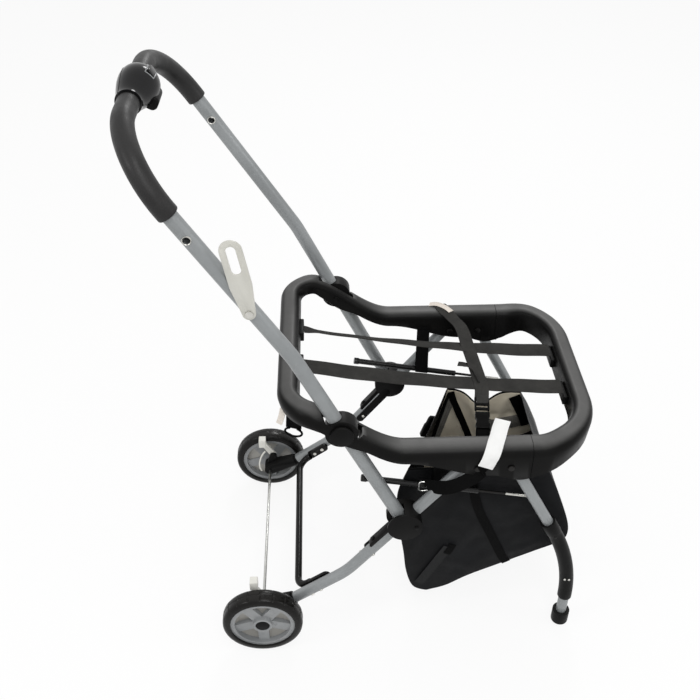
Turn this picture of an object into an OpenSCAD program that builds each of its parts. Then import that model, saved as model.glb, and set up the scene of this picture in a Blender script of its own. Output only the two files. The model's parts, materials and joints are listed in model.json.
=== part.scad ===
// Folding stroller frame that carries an infant car seat on a padded-strap ring.
// Millimetres. +X is forward, +Y is the rider's left, +Z is up, and Z = 0 is the floor.

/* [Seat ring] */
// Distance from the rear bar's crest to the front bar's crest
ring_l = 519; // [480:1:560]
// Distance between the crests of the two side rails
ring_w = 388; // [370:1:410]
// Height of the side rails' crest above the floor
ring_z = 501; // [490:1:520]
// How much higher the rear bar stands than the side rails
rear_rise = 82; // [70:1:90]
// How much higher the front bar stands than the side rails
front_rise = 8; // [0:1:15]
// Width of the rail
rail_w = 45; // [44:0.5:50]
// Thickness of the rail's walls
rail_wall = 3; // [2:0.5:4]
// Radius that rounds the rail's top edges
rail_round = 17; // [10:0.5:20]
// Depth of the rail at the rear bar
rear_rail_h = 32; // [30:1:36]
// Depth of the rail at the front bar
front_rail_h = 58; // [54:1:62]
// Radius of the rear corners at the crest
rear_corner_r = 59; // [45:1:70]
// Length of the front corners along the rails
front_corner_l = 93; // [70:1:110]
// Width of the front corners across the rails
front_corner_w = 105; // [80:1:120]

/* [Pivots] */
// Handle pivot behind the rear bar's crest, measured forward
handle_pivot_x = 92; // [85:1:100]
// Handle pivot below the rail's crest
handle_pivot_drop = 18; // [15:0.5:22]
// Rear leg pivot, measured back from the front bar's crest
leg_pivot_back = 201; // [190:1:215]
// Front leg pivot, measured forward of the rear leg pivot
front_pivot_x = 56; // [54:1:64]
// Leg pivots below the rail's crest
leg_pivot_drop = 40; // [34:1:42]
// Diameter of the handle's pivot pins
handle_pin_d = 8; // [6:0.5:10]
// Diameter of the legs' pivot pins
leg_pin_d = 6; // [5:0.5:8]
// Diameter of the round cover on the handle's pivot
pivot_cover_d = 39; // [30:1:44]
// Radial running clearance around a pin or shaft
pin_gap = 0.05; // [0.02:0.01:0.1]

/* [Tubes] */
// Diameter of the handle tube
handle_d = 24; // [22:0.5:26]
// Diameter of the rear leg tubes
leg_d = 21; // [18:0.5:23]
// Diameter of the front leg tubes
front_d = 20; // [17:0.5:22]
// Wall of the tubes
tube_wall = 1.5; // [1:0.1:2.5]
// Diameter of the black cross tube
cross_d = 14; // [10:0.5:16]
// Bend radius of the cross tube
cross_bend_r = 24; // [18:1:32]

/* [Handle] */
// Angle of the lower handle tube above the horizontal, seen from the right
handle_angle = 116; // [112:0.5:120]
// How much further back the upper handle tube leans
handle_kink = 6.5; // [3:0.5:10]
// Length from the pivot to the kink
handle_lower_l = 165; // [140:1:190]
// Length from the kink to the crossbar
handle_upper_l = 411; // [360:1:460]
// Corner radius of the handle's bow
bow_r = 108; // [80:1:130]
// Outside diameter of the foam grips
grip_d = 33; // [30:0.5:38]
// Distance from the grip's lower end to the tray hole
tray_hole_offset = 40; // [30:1:60]
// Diameter of the tray hole through each handle tube
tray_hole_d = 11; // [6:0.5:12]
// Length of the release housing across the handle
housing_l = 104; // [90:1:120]
// Diameter of the release housing
housing_d = 62; // [56:1:70]
// Travel of the squeeze trigger
trigger_travel = 6; // [4:0.5:7]
// Length of the storage latch plate
latch_l = 134; // [110:1:150]
// Width of the storage latch plate
latch_w = 33; // [26:1:40]

/* [Wheels] */
// Outside diameter of a rear wheel
wheel_d = 152; // [140:1:170]
// Width of the tyre
tyre_w = 33; // [26:1:40]
// Thickness of the tyre
tyre_t = 15; // [10:0.5:18]
// Number of spokes
spokes = 5; // [3:1:7]
// Width of a spoke
spoke_w = 21; // [12:0.5:24]
// Diameter of the rear axle
axle_d = 6; // [5:0.5:9]

/* [Legs] */
// Reach of the wheel bracket forward of the axle
bracket_x = 63; // [55:1:75]
// Rise of the wheel bracket above the axle
bracket_z = 24; // [18:1:32]
// Slope of the rear leg's lower run
leg_slope = 36.6; // [34:0.2:39]
// Length of the rear leg's lower run to its bend
leg_lower_l = 121; // [110:1:135]
// Slope of the front leg's straight run
front_slope = 62; // [58:0.5:66]
// Bend radius of the front leg's sleeve
sleeve_r = 398; // [340:1:420]
// Outside diameter of the front leg's sleeve
sleeve_d = 27; // [25:0.5:30]
// Diameter of the cap on the front post
foot_d = 33; // [28:0.5:38]
// Height of the cap on the front post
foot_h = 34; // [26:1:40]
// Length of front post that shows between sleeve and cap
post_l = 44; // [30:1:60]

/* [Soft goods] */
// Width of the two seat straps
seat_strap_w = 36; // [25:1:40]
// Distance from where the front corner starts to the middle of a seat strap
seat_strap_inset = 36; // [25:1:40]
// Width of the safety strap
safety_strap_w = 25; // [20:1:32]
// Thickness of the webbing
webbing_t = 2; // [1.5:0.1:3]
// Length of the basket along the frame
basket_l = 316; // [290:1:330]
// Height of the basket's lowest point above the floor
basket_z = 70; // [60:1:100]
// How much the basket's cloth sags between its sides
basket_sag = 8; // [0:1:15]
// Thickness of the basket's cloth walls
cloth_t = 3; // [2:0.5:4]
// Diameter of the basket rods' black sleeve
rod_sleeve_d = 9; // [7:0.5:11]
// Diameter of the basket rods
rod_d = 5; // [4:0.5:6]

/* [Hidden] */
$fn = 48;
// Clearance between faces that move past each other, and between parts that only touch
run_gap = 1;
seat_gap = 0.05;
// Overlap that makes two cuts or two bodies of one piece meet
lap = 0.5;

// Plane geometry in the side view, where a point is [x, z]
function heading(a) = [cos(a), sin(a)];
function cross2(a, b) = a[0] * b[1] - a[1] * b[0];
function meet(p, u, q, v) = p + u * cross2(q - p, v) / cross2(u, v);
function angle_of(v) = atan2(v[1], v[0]);
function smooth(t) = let (c = min(max(t, 0), 1)) c * c * (3 - 2 * c);

// Rear axle, with the ring placed over it
axle_z = wheel_d / 2;
ring_rear_x = 61;
ring_front_x = ring_rear_x + ring_l;
ring_y = ring_w / 2;
split_x = ring_front_x - front_corner_l - 17;
// Rise of the side rails towards the rear bar and the front bar
dip_start = ring_rear_x + 34;
dip_end = ring_rear_x + 199;
nose_start = ring_front_x - 100;
nose_end = ring_front_x - 40;
// Lugs that deepen the rails around the pivots
leg_lug_h = 12;
leg_lug_l = 48;
handle_lug_h = 9;
handle_lug_l = 48;

function crest_z(x) =
    ring_z + rear_rise * (1 - smooth((x - dip_start) / (dip_end - dip_start)))
    + front_rise * smooth((x - nose_start) / (nose_end - nose_start));

handle_pivot = [ring_rear_x + handle_pivot_x, crest_z(ring_rear_x + handle_pivot_x) - handle_pivot_drop];
leg_pivot = [ring_front_x - leg_pivot_back, ring_z - leg_pivot_drop];
front_pivot = leg_pivot + [front_pivot_x, 0];
leg_lug_x = front_pivot[0] + 18;
// Deepening of the rails towards the leg pivots
grow_start = leg_pivot[0] - 119;
grow_end = leg_pivot[0] + 21;

function rail_h(x) =
    rear_rail_h + (front_rail_h - rear_rail_h) * smooth((x - grow_start) / (grow_end - grow_start))
    + leg_lug_h * smooth(1 - abs(x - leg_lug_x) / leg_lug_l)
    + handle_lug_h * smooth(1 - abs(x - handle_pivot[0]) / handle_lug_l);

// Positions across the frame, from the hollow of the side rail outwards
hollow_in = ring_y - rail_w / 2 + rail_wall;
hollow_out = ring_y + rail_w / 2 - rail_wall;
collar_wall = 1.7;
collar_gap = 0.3;
handle_y = hollow_out - collar_gap - collar_wall - handle_d / 2;
leg_y = hollow_in + 4 + leg_d / 2;
front_y = hollow_in + run_gap + front_d / 2;
bracket_wall = 3;
wheel_gap = 3;
wheel_in = leg_y + leg_d / 2 + bracket_wall + wheel_gap;
wheel_y = wheel_in + tyre_w / 2;
wheel_out = wheel_in + tyre_w;

// Rear leg: lower end in the bracket, bend, and straight run to its pivot
leg_end = [bracket_x, axle_z + bracket_z];
leg_bend = leg_end + leg_lower_l * heading(leg_slope);
leg_dir = (leg_pivot - leg_bend) / norm(leg_pivot - leg_bend);
leg_upper_slope = angle_of(leg_dir);
leg_bend_r = 140;
tube_end = 12;

// Handle: its lower end stands off the rear leg inside the hub
handle_dir = heading(handle_angle);
handle_meet = meet(handle_pivot, handle_dir, leg_bend, leg_dir);
hub_stand = 29;
handle_low_l = norm(handle_meet - handle_pivot) - hub_stand;
handle_kink_at = handle_pivot + handle_lower_l * handle_dir;
handle_top_angle = handle_angle + handle_kink;
handle_top_dir = heading(handle_top_angle);
crossbar = handle_kink_at + handle_upper_l * handle_top_dir;
handle_kink_r = 260;
bow_run = 4;
bow_start = handle_upper_l - bow_r - bow_run;
grip_lap = 4;
grip_end = bow_start - grip_lap;
tray_hole = handle_kink_at + (grip_end - tray_hole_offset) * handle_top_dir;
collar_r = 27;
fold_angle = 110;

// Front leg: straight run, bend to the vertical, then the post down to the floor
front_dir = heading(-front_slope);
front_run = (front_pivot[1] - foot_h - post_l - sleeve_r * cos(front_slope)) / sin(front_slope);
sleeve_top = front_pivot + front_run * front_dir;
post_x = sleeve_top[0] + sleeve_r * (1 - sin(front_slope));
post_top = foot_h + post_l;
sleeve_socket = 30;
sleeve_lip = 1.6;
post_socket = 18;

// Basket rods hang inside the legs; the basket hangs between the rods
rod_rear_in = 128;
rod_rear_drop = 107;
rod_front_in = 93;
rod_front_drop = 163;
rod_rear = [ring_rear_x + rod_rear_in, ring_z - rod_rear_drop];
rod_front = [ring_front_x - rod_front_in, ring_z - rod_front_drop];
rod_dir = (rod_front - rod_rear) / norm(rod_front - rod_rear);
rod_y = hollow_in - rail_wall - 1.7 - rod_sleeve_d / 2;
hanger_t = 1.2;
hanger_w = 22;
hanger_at = leg_pivot[0] - 53;
hook_wire_d = 2;
hook_gap = 0.2;
cloth_gap = 0.5;
basket_y = rod_y - rod_sleeve_d / 2 - hook_gap - hook_wire_d - cloth_gap;

// The frame stands centred over its own length
rearmost = crossbar[0] - grip_d / 2;
foremost = max(ring_front_x + rail_w / 2, post_x + foot_d / 2);
middle_x = (rearmost + foremost) / 2;

rail_black = [0.07, 0.07, 0.075];
plastic_black = [0.05, 0.05, 0.055];
tube_grey = [0.50, 0.53, 0.55];
foam_black = [0.10, 0.10, 0.105];
steel = [0.78, 0.78, 0.77];
gloss_black = [0.03, 0.03, 0.035];
pale_grey = [0.76, 0.75, 0.69];
rim_grey = [0.52, 0.54, 0.55];
tyre_black = [0.06, 0.06, 0.06];
webbing_grey = [0.14, 0.14, 0.15];
cloth_black = [0.06, 0.06, 0.065];

// Stands a child on the left side, or on the right as its mirror image
module on_side(side) {
    mirror([0, side == "right" ? 1 : 0, 0]) children();
}

module both_sides() {
    children();
    mirror([0, 1, 0]) children();
}

// Extrudes a side-view outline across the frame from y0 to y1
module across(y0, y1) {
    translate([0, y1, 0]) rotate([90, 0, 0]) linear_extrude(y1 - y0) children();
}

// Round bar across the frame at a side-view point
module cross_bar(p, d, y0, y1) {
    translate([p[0], y0, p[1]]) rotate([-90, 0, 0]) cylinder(d = d, h = y1 - y0);
}

// Round bar in the side view from one point to another, at y
module side_bar(a, b, d, y) {
    translate([a[0], y, a[1]]) rotate([0, 90 - angle_of(b - a), 0]) cylinder(d = d, h = norm(b - a));
}

// Places children on a side-view point, with X along the given slope
module on_slope(p, slope, y) {
    translate([p[0], y, p[1]]) rotate([0, -slope, 0]) children();
}

module tube_section(d, wall) {
    difference() {
        circle(d = d);
        if (wall > 0) circle(d = d - 2 * wall);
    }
}

// Tube bent along a plane polyline, with one radius at its corners
module bent_tube(points, r, d, wall) {
    last = len(points) - 1;
    turns = [for (i = [0:last]) i == 0 || i == last ? 0
        : let (t = angle_of(points[i + 1] - points[i]) - angle_of(points[i] - points[i - 1]))
          t > 180 ? t - 360 : t < -180 ? t + 360 : t];
    trims = [for (t = turns) r * tan(abs(t) / 2)];
    for (i = [0:last - 1]) {
        run = points[i + 1] - points[i];
        u = run / norm(run);
        translate(points[i] + u * trims[i]) rotate([0, 0, angle_of(run)]) rotate([90, 0, 90])
            linear_extrude(norm(run) - trims[i] - trims[i + 1]) tube_section(d, wall);
    }
    for (i = [1:1:last - 1]) {
        a_in = angle_of(points[i] - points[i - 1]);
        side = turns[i] > 0 ? 1 : -1;
        start = points[i] - trims[i] * heading(a_in);
        from = turns[i] > 0 ? a_in - 90 : a_in + turns[i] + 90;
        translate(start + side * r * heading(a_in + 90)) rotate([0, 0, from])
            rotate_extrude(angle = abs(turns[i])) translate([r, 0]) tube_section(d, wall);
    }
}

// Tube with one slight bend, swept in the side view at y; a station is a point and a heading
tube_sides = 40;
bend_steps = 5;
function bend_stations(p, r) = let (
        a = angle_of(p[1] - p[0]), turn = angle_of(p[2] - p[1]) - a, side = turn > 0 ? 1 : -1,
        start = p[1] - r * tan(abs(turn) / 2) * heading(a), mid = start + side * r * heading(a + 90))
    concat([[p[0], a]],
        [for (i = [0:bend_steps]) let (t = a + turn * i / bend_steps) [mid - side * r * heading(t + 90), t]],
        [[p[2], a + turn]]);
function tube_points(stations, r) = [for (s = stations) for (j = [0:tube_sides - 1]) let (
        f = 360 * j / tube_sides, q = s[0] + r * cos(f) * heading(s[1] + 90)) [q[0], q[1], r * sin(f)]];
function tube_faces(count) = [for (s = [0:count - 1]) for (j = [0:tube_sides - 1]) let (
        k = (j + 1) % tube_sides, inner = count * tube_sides,
        a = s * tube_sides + j, b = s * tube_sides + k, c = b + tube_sides, d = a + tube_sides)
    each concat(
        s < count - 1 ? [[a, c, b], [a, d, c], [a + inner, b + inner, c + inner], [a + inner, c + inner, d + inner]] : [],
        s == 0 ? [[a, b, b + inner], [a, b + inner, a + inner]] : [],
        s == count - 1 ? [[a, a + inner, b + inner], [a, b + inner, b]] : [])];

module side_tube(points, r, d, wall, y) {
    stations = bend_stations(points, r);
    translate([0, y, 0]) rotate([90, 0, 0]) polyhedron(
        concat(tube_points(stations, d / 2), tube_points(stations, d / 2 - wall)),
        tube_faces(len(stations)), convexity = 10);
}

// Plane of the handle's bow: X runs to the left, Y runs up the handle, from the kink
module bow_plane() {
    translate([handle_kink_at[0], 0, handle_kink_at[1]])
        rotate([0, 90 - handle_top_angle, 0]) rotate([90, 0, 90]) children();
}

// Frame of the release housing: X is the front face, Y the crossbar, Z up the handle
module at_crossbar() {
    translate([crossbar[0], 0, crossbar[1]]) rotate([0, 90 - handle_top_angle, 0]) children();
}

// Band of even thickness along a plane polyline
function side_of(p, i) =
    let (a = p[max(i - 1, 0)], b = p[min(i + 1, len(p) - 1)], d = (b - a) / norm(b - a)) [-d[1], d[0]];
module ribbon(p, t) {
    polygon(concat(
        [for (i = [0:len(p) - 1]) p[i] + side_of(p, i) * t / 2],
        [for (i = [len(p) - 1:-1:0]) p[i] - side_of(p, i) * t / 2]));
}

// Seat ring: an open-bottomed rail swept round the plan, one half at a time
side_steps = 20;
corner_steps = 8;
crown_steps = 4;

function mirrored(path) = [for (i = [len(path) - 1:-1:0]) [path[i][0], -path[i][1], path[i][2], -path[i][3]]];

rear_half = concat(
    [for (i = [0:side_steps])
        [split_x + (ring_rear_x + rear_corner_r - split_x) * i / side_steps, ring_y, 0, 1]],
    [for (i = [1:corner_steps]) let (a = 90 + 90 * i / corner_steps)
        [ring_rear_x + rear_corner_r + rear_corner_r * cos(a), ring_y - rear_corner_r + rear_corner_r * sin(a),
         cos(a), sin(a)]]);
front_half = concat(
    [[split_x, ring_y, 0, 1]],
    [for (i = [0:corner_steps + 2]) let (
            a = 90 - 90 * i / (corner_steps + 2),
            n = [cos(a) / front_corner_l, sin(a) / front_corner_w])
        [ring_front_x - front_corner_l + front_corner_l * cos(a), ring_y - front_corner_w + front_corner_w * sin(a),
         n[0] / norm(n), n[1] / norm(n)]]);

function crown(r, w, from, to) =
    [for (i = [0:crown_steps]) let (a = from + (to - from) * i / crown_steps)
        [(cos(a) < 0 || from == 180 || to == 180 ? -1 : 1) * (w / 2 - rail_round) + r * cos(a),
         -rail_round + r * sin(a)]];
function rail_section(h) = concat(
    [[-rail_w / 2, -h]], crown(rail_round, rail_w, 180, 90), crown(rail_round, rail_w, 90, 0), [[rail_w / 2, -h]],
    [[rail_w / 2 - rail_wall, -h]], crown(rail_round - rail_wall, rail_w, 0, 90),
    crown(rail_round - rail_wall, rail_w, 90, 180), [[-rail_w / 2 + rail_wall, -h]]);

section_n = 4 * (crown_steps + 1) + 4;
function rail_points(path) = [for (s = path) let (z = crest_z(s[0])) for (q = rail_section(rail_h(s[0])))
    [s[0] + s[2] * q[0], s[1] + s[3] * q[0], z + q[1]]];
function rail_faces(count) = concat(
    [for (s = [0:count - 2]) for (i = [0:section_n - 1]) for (k = [0, 1]) let (
            j = (i + 1) % section_n,
            a = s * section_n + i, b = s * section_n + j, c = b + section_n, d = a + section_n)
        k == 0 ? [a, c, b] : [a, d, c]],
    [for (i = [0:section_n / 2 - 2]) for (k = [0, 1]) let (m = section_n - 1 - i)
        k == 0 ? [i, i + 1, m - 1] : [i, m - 1, m]],
    [for (i = [0:section_n / 2 - 2]) for (k = [0, 1]) let (o = (count - 1) * section_n, m = section_n - 1 - i)
        k == 0 ? [o + i, o + m - 1, o + i + 1] : [o + i, o + m, o + m - 1]]);

module rail(path) {
    polyhedron(rail_points(path), rail_faces(len(path)), convexity = 10);
}

// Room in the rail for the handle tube, from upright to folded forward
module handle_slot() {
    half = handle_d / 2 + run_gap;
    reach = 110;
    folded = handle_angle - fold_angle;
    across(handle_y - handle_d / 2 - collar_wall - collar_gap, hollow_out) {
        translate(handle_pivot) circle(r = collar_r + run_gap);
        translate(handle_pivot) polygon(concat(
            [half * heading(handle_angle + 90), half * heading(handle_angle + 90) + reach * heading(handle_angle)],
            [for (k = [0.25, 0.5, 0.75]) 1.5 * reach * heading(handle_angle + (folded - handle_angle) * k)],
            [half * heading(folded - 90) + reach * heading(folded), half * heading(folded - 90)]));
    }
}

module pin_holes(p, d) {
    cross_bar(p, d + 2 * pin_gap, hollow_in - 2 * rail_wall, hollow_out + 2 * rail_wall);
}

module ring_rear() {
    color(rail_black) difference() {
        rail(concat(rear_half, mirrored(rear_half)));
        both_sides() {
            handle_slot();
            pin_holes(handle_pivot, handle_pin_d);
            pin_holes(leg_pivot, leg_pin_d);
            pin_holes(front_pivot, leg_pin_d);
        }
    }
}

module ring_front() {
    color(rail_black) rail(mirrored(concat(front_half, mirrored(front_half))));
}

rail_in = hollow_in - rail_wall;
rail_out = hollow_out + rail_wall;
screw_head_d = 11;
screw_head_t = 3;
cover_t = 5;

module pivot_pin(p, d, outer_d, outer_t) {
    cross_bar(p, d, rail_in - screw_head_t, rail_out + outer_t);
    cross_bar(p, screw_head_d, rail_in - screw_head_t, rail_in);
    cross_bar(p, outer_d, rail_out, rail_out + outer_t);
}

module handle_pins() {
    color(plastic_black) both_sides() pivot_pin(handle_pivot, handle_pin_d, pivot_cover_d, cover_t);
}

module leg_pins() {
    color(steel) both_sides() pivot_pin(leg_pivot, leg_pin_d, screw_head_d, screw_head_t);
}

module front_pins() {
    color(steel) both_sides() pivot_pin(front_pivot, leg_pin_d, screw_head_d, screw_head_t);
}

// Spacers that keep the legs in the middle of the rail's hollow
bush_d = 14;
bush_gap = 0.3;
module bush(p, y0, y1) {
    difference() {
        cross_bar(p, bush_d, y0, y1);
        cross_bar(p, leg_pin_d + 2 * seat_gap, y0 - lap, y1 + lap);
    }
}

module pivot_bushes() {
    color(plastic_black) both_sides() {
        bush(leg_pivot, hollow_in, leg_y - leg_d / 2 - bush_gap);
        bush(leg_pivot, leg_y + leg_d / 2 + bush_gap, hollow_out);
        bush(front_pivot, hollow_in, front_y - front_d / 2 - bush_gap);
        bush(front_pivot, front_y + front_d / 2 + bush_gap, hollow_out);
    }
}

// Seat straps run from clips on the rear bar to clips on the front bar, with a light sag
clip_t = 8;
clip_h = 18;
clip_side = 5;
strap_sag = 6;
strap_steps = 8;
seat_strap_y = ring_y - front_corner_w - seat_strap_inset;
bar_in_rear = ring_rear_x + rail_w / 2;
bar_in_front = ring_front_x - rail_w / 2;
clip_rear_z = crest_z(ring_rear_x) - rail_round - clip_h / 2;
clip_front_z = crest_z(ring_front_x) - rail_round - clip_h / 2;
strap_from = [bar_in_rear + clip_t, clip_rear_z];
strap_lift = 4;
strap_to = [bar_in_front - clip_t, clip_front_z + strap_lift];
function strap_z(x) =
    let (t = (x - strap_from[0]) / (strap_to[0] - strap_from[0]))
    strap_from[1] + (strap_to[1] - strap_from[1]) * t - 4 * strap_sag * t * (1 - t);
strap_line = [for (i = [0:strap_steps]) let (x = strap_from[0] + (strap_to[0] - strap_from[0]) * i / strap_steps)
    [x, strap_z(x)]];

module seat_strap() {
    mid = seat_strap_y;
    color(webbing_grey) intersection() {
        across(mid - seat_strap_w / 2, mid + seat_strap_w / 2) ribbon(strap_line, webbing_t);
        across(0, ring_w) translate([strap_from[0], 0]) square([strap_to[0] - strap_from[0], 2 * ring_z]);
    }
}

module seat_strap_left() on_side("left") seat_strap();
module seat_strap_right() on_side("right") seat_strap();

module strap_clips() {
    half = seat_strap_w / 2 + clip_side;
    mid = seat_strap_y;
    color(plastic_black) both_sides() across(mid - half, mid + half) {
        translate([bar_in_rear, clip_rear_z - clip_h / 2]) square([clip_t, clip_h]);
        translate([bar_in_front - clip_t, clip_front_z - clip_h / 2]) square([clip_t, clip_h]);
    }
}

// Safety strap: over both rails and both seat straps, slightly askew, closed by a buckle
safety_skew = 7.3;
safety_ahead = 10;
safety_x = leg_pivot[0] + safety_ahead;
safety_gap = 0.8;
safety_drop = 12;
buckle_inset = 68;
buckle_y = ring_y - buckle_inset;
buckle_l = 52;
buckle_w = 32;
buckle_t = 12;
buckle_lap = 16;
safety_top = strap_z(safety_x) + webbing_t / 2 + safety_gap + 6;
wrap = safety_gap + webbing_t / 2;
wrap_turn = [for (a = [0:22.5:90]) (rail_round + wrap) * heading(a)];
// One end of the strap, from its tail outside a rail to the rail's inner edge, in the plane across the frame
function rail_wrap(drop) = concat(
    [[ring_y + rail_w / 2 + wrap, ring_z - rail_round - drop]],
    [for (q = wrap_turn) [ring_y + rail_w / 2 - rail_round, ring_z - rail_round] + q],
    [[ring_y - rail_w / 2 + rail_round, ring_z + wrap]]);
function flip(path) = [for (i = [len(path) - 1:-1:0]) [-path[i][0], path[i][1]]];
strap_edge = seat_strap_y + seat_strap_w / 2;
buckle_z = safety_top - 4;
far_part = concat(rail_wrap(safety_drop), [[strap_edge, safety_top], [-strap_edge, safety_top],
    [-buckle_y + buckle_l / 2, buckle_z]]);
near_part = concat([[-buckle_y - buckle_l / 2, buckle_z]], flip(rail_wrap(safety_drop)));

module safety_plane(w) {
    multmatrix([[1, -tan(safety_skew), 0, safety_x - w / 2], [0, 1, 0, 0], [0, 0, 1, 0]])
        rotate([90, 0, 90]) linear_extrude(w) children();
}

module safety_strap() {
    color(webbing_grey) safety_plane(safety_strap_w) {
        ribbon(far_part, webbing_t);
        ribbon(near_part, webbing_t);
    }
}

module buckle_block(from, to, w, t) {
    safety_plane(w) translate([from, buckle_z - t / 2]) square([to - from, t]);
}

module buckle_socket() {
    color(plastic_black) difference() {
        buckle_block(-buckle_y - buckle_l / 2 + seat_gap * 20, -buckle_y + buckle_l / 2 - buckle_lap, buckle_w, buckle_t);
        buckle_block(-buckle_y, -buckle_y + buckle_l, buckle_w - 10, buckle_t - 5);
    }
}

module buckle_tongue() {
    color(plastic_black) {
        buckle_block(-buckle_y + buckle_l / 2 - buckle_lap + bush_gap, -buckle_y + buckle_l / 2 - seat_gap * 20,
            buckle_w, buckle_t);
        buckle_block(-buckle_y + bush_gap, -buckle_y + buckle_l / 2 - buckle_lap + 2, buckle_w - 12, buckle_t - 6);
    }
}

// Basket: an open bag, deep at the rear, whose far side is narrower and lower than its near side
basket_back = 118;
basket_top_drop = 96;
basket_x = leg_pivot[0] - basket_back;
basket_h = ring_z - basket_top_drop - basket_z;
rim_droop = 14;
// Outlines of the two sides, in shares of the bag's length and height: down the rear, along the bottom and
// up the front, and last the middle of the top edge
near_shape = [[0.05, 1], [0.01, 0.77], [0, 0.53], [0.02, 0.37], [0.05, 0.17], [0.1, 0.04], [0.19, 0],
    [0.5, 0.17], [0.93, 0.38], [0.98, 0.41], [1, 0.46], [0.99, 0.54], [0.95, 0.66], [0.88, 0.83], [0.8, 1],
    [0.42, 1]];
far_shape = [[0.38, 0.75], [0.36, 0.65], [0.33, 0.5], [0.3, 0.35], [0.27, 0.2], [0.24, 0.09], [0.22, 0.03],
    [0.56, 0.17], [0.93, 0.36], [0.98, 0.39], [1, 0.42], [1, 0.46], [0.97, 0.53], [0.92, 0.63], [0.87, 0.71],
    [0.63, 0.63]];
bag_n = len(near_shape);
bag_end = bag_n - 2;
function bag_loop(shape) = [for (s = shape) [basket_x + s[0] * basket_l, basket_z + s[1] * basket_h]];
near_loop = bag_loop(near_shape);
far_loop = bag_loop(far_shape);
mid_loop = [for (i = [0:bag_end])
    (near_loop[i] + far_loop[i]) / 2 - [0, i == 0 || i == bag_end ? rim_droop : basket_sag]];
// A loop drawn in by the cloth's thickness
function drawn_in(p) = [for (i = [0:len(p) - 1]) i > bag_end ? p[i]
    : let (d = p[min(i + 1, bag_end)] - p[max(i - 1, 0)]) p[i] + [-d[1], d[0]] / norm(d) * cloth_t];
function at_y(p, y) = [for (q = p) [q[0], y, q[1]]];
function quad(a, b, c, d) = [[a, b, c], [a, c, d]];

module basket() {
    inner_y = basket_y - cloth_t;
    points = concat(
        at_y(near_loop, -basket_y), at_y(far_loop, basket_y), at_y(mid_loop, 0),
        at_y(drawn_in(near_loop), -inner_y), at_y(drawn_in(far_loop), inner_y), at_y(drawn_in(mid_loop), 0));
    top = bag_n - 1;
    f = bag_n;
    m = 2 * bag_n;
    k = 3 * bag_n - 1;
    sides = [for (i = [0:bag_end - 1]) each concat(
        quad(i, i + 1, m + i + 1, m + i), quad(m + i, m + i + 1, f + i + 1, f + i),
        quad(k + i, k + m + i, k + m + i + 1, k + i + 1), quad(k + m + i, k + f + i, k + f + i + 1, k + m + i + 1))];
    rims = concat(
        quad(0, k, k + top, top), quad(top, k + top, k + bag_end, bag_end),
        quad(f, f + top, k + f + top, k + f), quad(f + top, f + bag_end, k + f + bag_end, k + f + top),
        quad(0, m, k + m, k), quad(m, f, k + f, k + m),
        quad(k + bag_end, k + m + bag_end, m + bag_end, bag_end),
        quad(k + m + bag_end, k + f + bag_end, f + bag_end, m + bag_end));
    color(cloth_black) polyhedron(points, concat(
        [for (i = [0:bag_end - 1]) each [[top, i + 1, i], [f + top, f + i, f + i + 1],
            [k + top, k + i, k + i + 1], [k + f + top, k + f + i + 1, k + f + i]]],
        sides, rims), convexity = 10);
}

rod_tip = 46;

module basket_rods() {
    color(steel) both_sides() side_bar(rod_rear + 6 * rod_dir, rod_front, rod_d, rod_y);
}

module rod_sleeves() {
    color(gloss_black) both_sides() difference() {
        side_bar(rod_rear, rod_front - rod_tip * rod_dir, rod_sleeve_d, rod_y);
        side_bar(rod_rear + (6 - seat_gap) * rod_dir, rod_front, rod_d + 2 * seat_gap, rod_y);
    }
}

function rod_at(x) = rod_rear + rod_dir * (x - rod_rear[0]) / rod_dir[0];

// Webbing hangers carry each rod from the inner wall of its rail
module rod_hangers() {
    mid = rod_at(hanger_at);
    half = hanger_w / 2;
    strip_y = rod_y + rod_sleeve_d / 2 + seat_gap;
    color(webbing_grey) both_sides() difference() {
        union() {
            side_bar(mid - half * rod_dir, mid + half * rod_dir, rod_sleeve_d + 2 * (hanger_t + seat_gap), rod_y);
            across(strip_y, rail_in) translate([mid[0] - half, mid[1]])
                square([hanger_w, crest_z(hanger_at) - rail_h(hanger_at) + 16 - mid[1]]);
        }
        side_bar(mid - hanger_w * rod_dir, mid + hanger_w * rod_dir, rod_sleeve_d + 2 * seat_gap, rod_y);
    }
}

// Wire hook of the safety strap, round the right rod
hook_at = leg_pivot[0] - 79;
module strap_hook() {
    p = rod_at(hook_at);
    color(steel) on_slope(p, angle_of(rod_dir), -rod_y) rotate([0, 90, 0])
        rotate_extrude() translate([rod_sleeve_d / 2 + hook_gap + hook_wire_d / 2, 0]) circle(d = hook_wire_d);
}

// Webbing tab with a cord loop, sewn inside the ring's rear right corner
tether_w = 24;
tether_l = 34;
tether_turn = 24;
tether_seam = 14;
module rear_tether() {
    wall_face = rear_corner_r - rail_w / 2 + rail_wall;
    bottom = crest_z(ring_rear_x) - rear_rail_h;
    color(webbing_grey) on_side("right")
        translate([ring_rear_x + rear_corner_r, ring_y - rear_corner_r, bottom]) rotate(180 - tether_turn)
            translate([wall_face + collar_gap, 0, 0]) {
                translate([0, -tether_w / 2, -tether_l]) cube([2 * webbing_t, tether_w, tether_l + tether_seam]);
                translate([webbing_t, 0, -tether_l - 8]) rotate([0, 90, 0])
                    rotate_extrude() translate([9.5, 0]) circle(d = 3);
            }
}

// Side tubes of the handle, drilled for the pivot pin and the tray
module handle_tube() {
    low = handle_pivot - handle_low_l * handle_dir;
    top = handle_kink_at + bow_start * handle_top_dir;
    color(tube_grey) difference() {
        side_tube([low, handle_kink_at, top], handle_kink_r, handle_d, tube_wall, handle_y);
        cross_bar(handle_pivot, handle_pin_d + 2 * pin_gap, handle_y - handle_d, handle_y + handle_d);
        cross_bar(tray_hole, tray_hole_d, handle_y - handle_d, handle_y + handle_d);
    }
}

module handle_tube_left() on_side("left") handle_tube();
module handle_tube_right() on_side("right") handle_tube();

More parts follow.
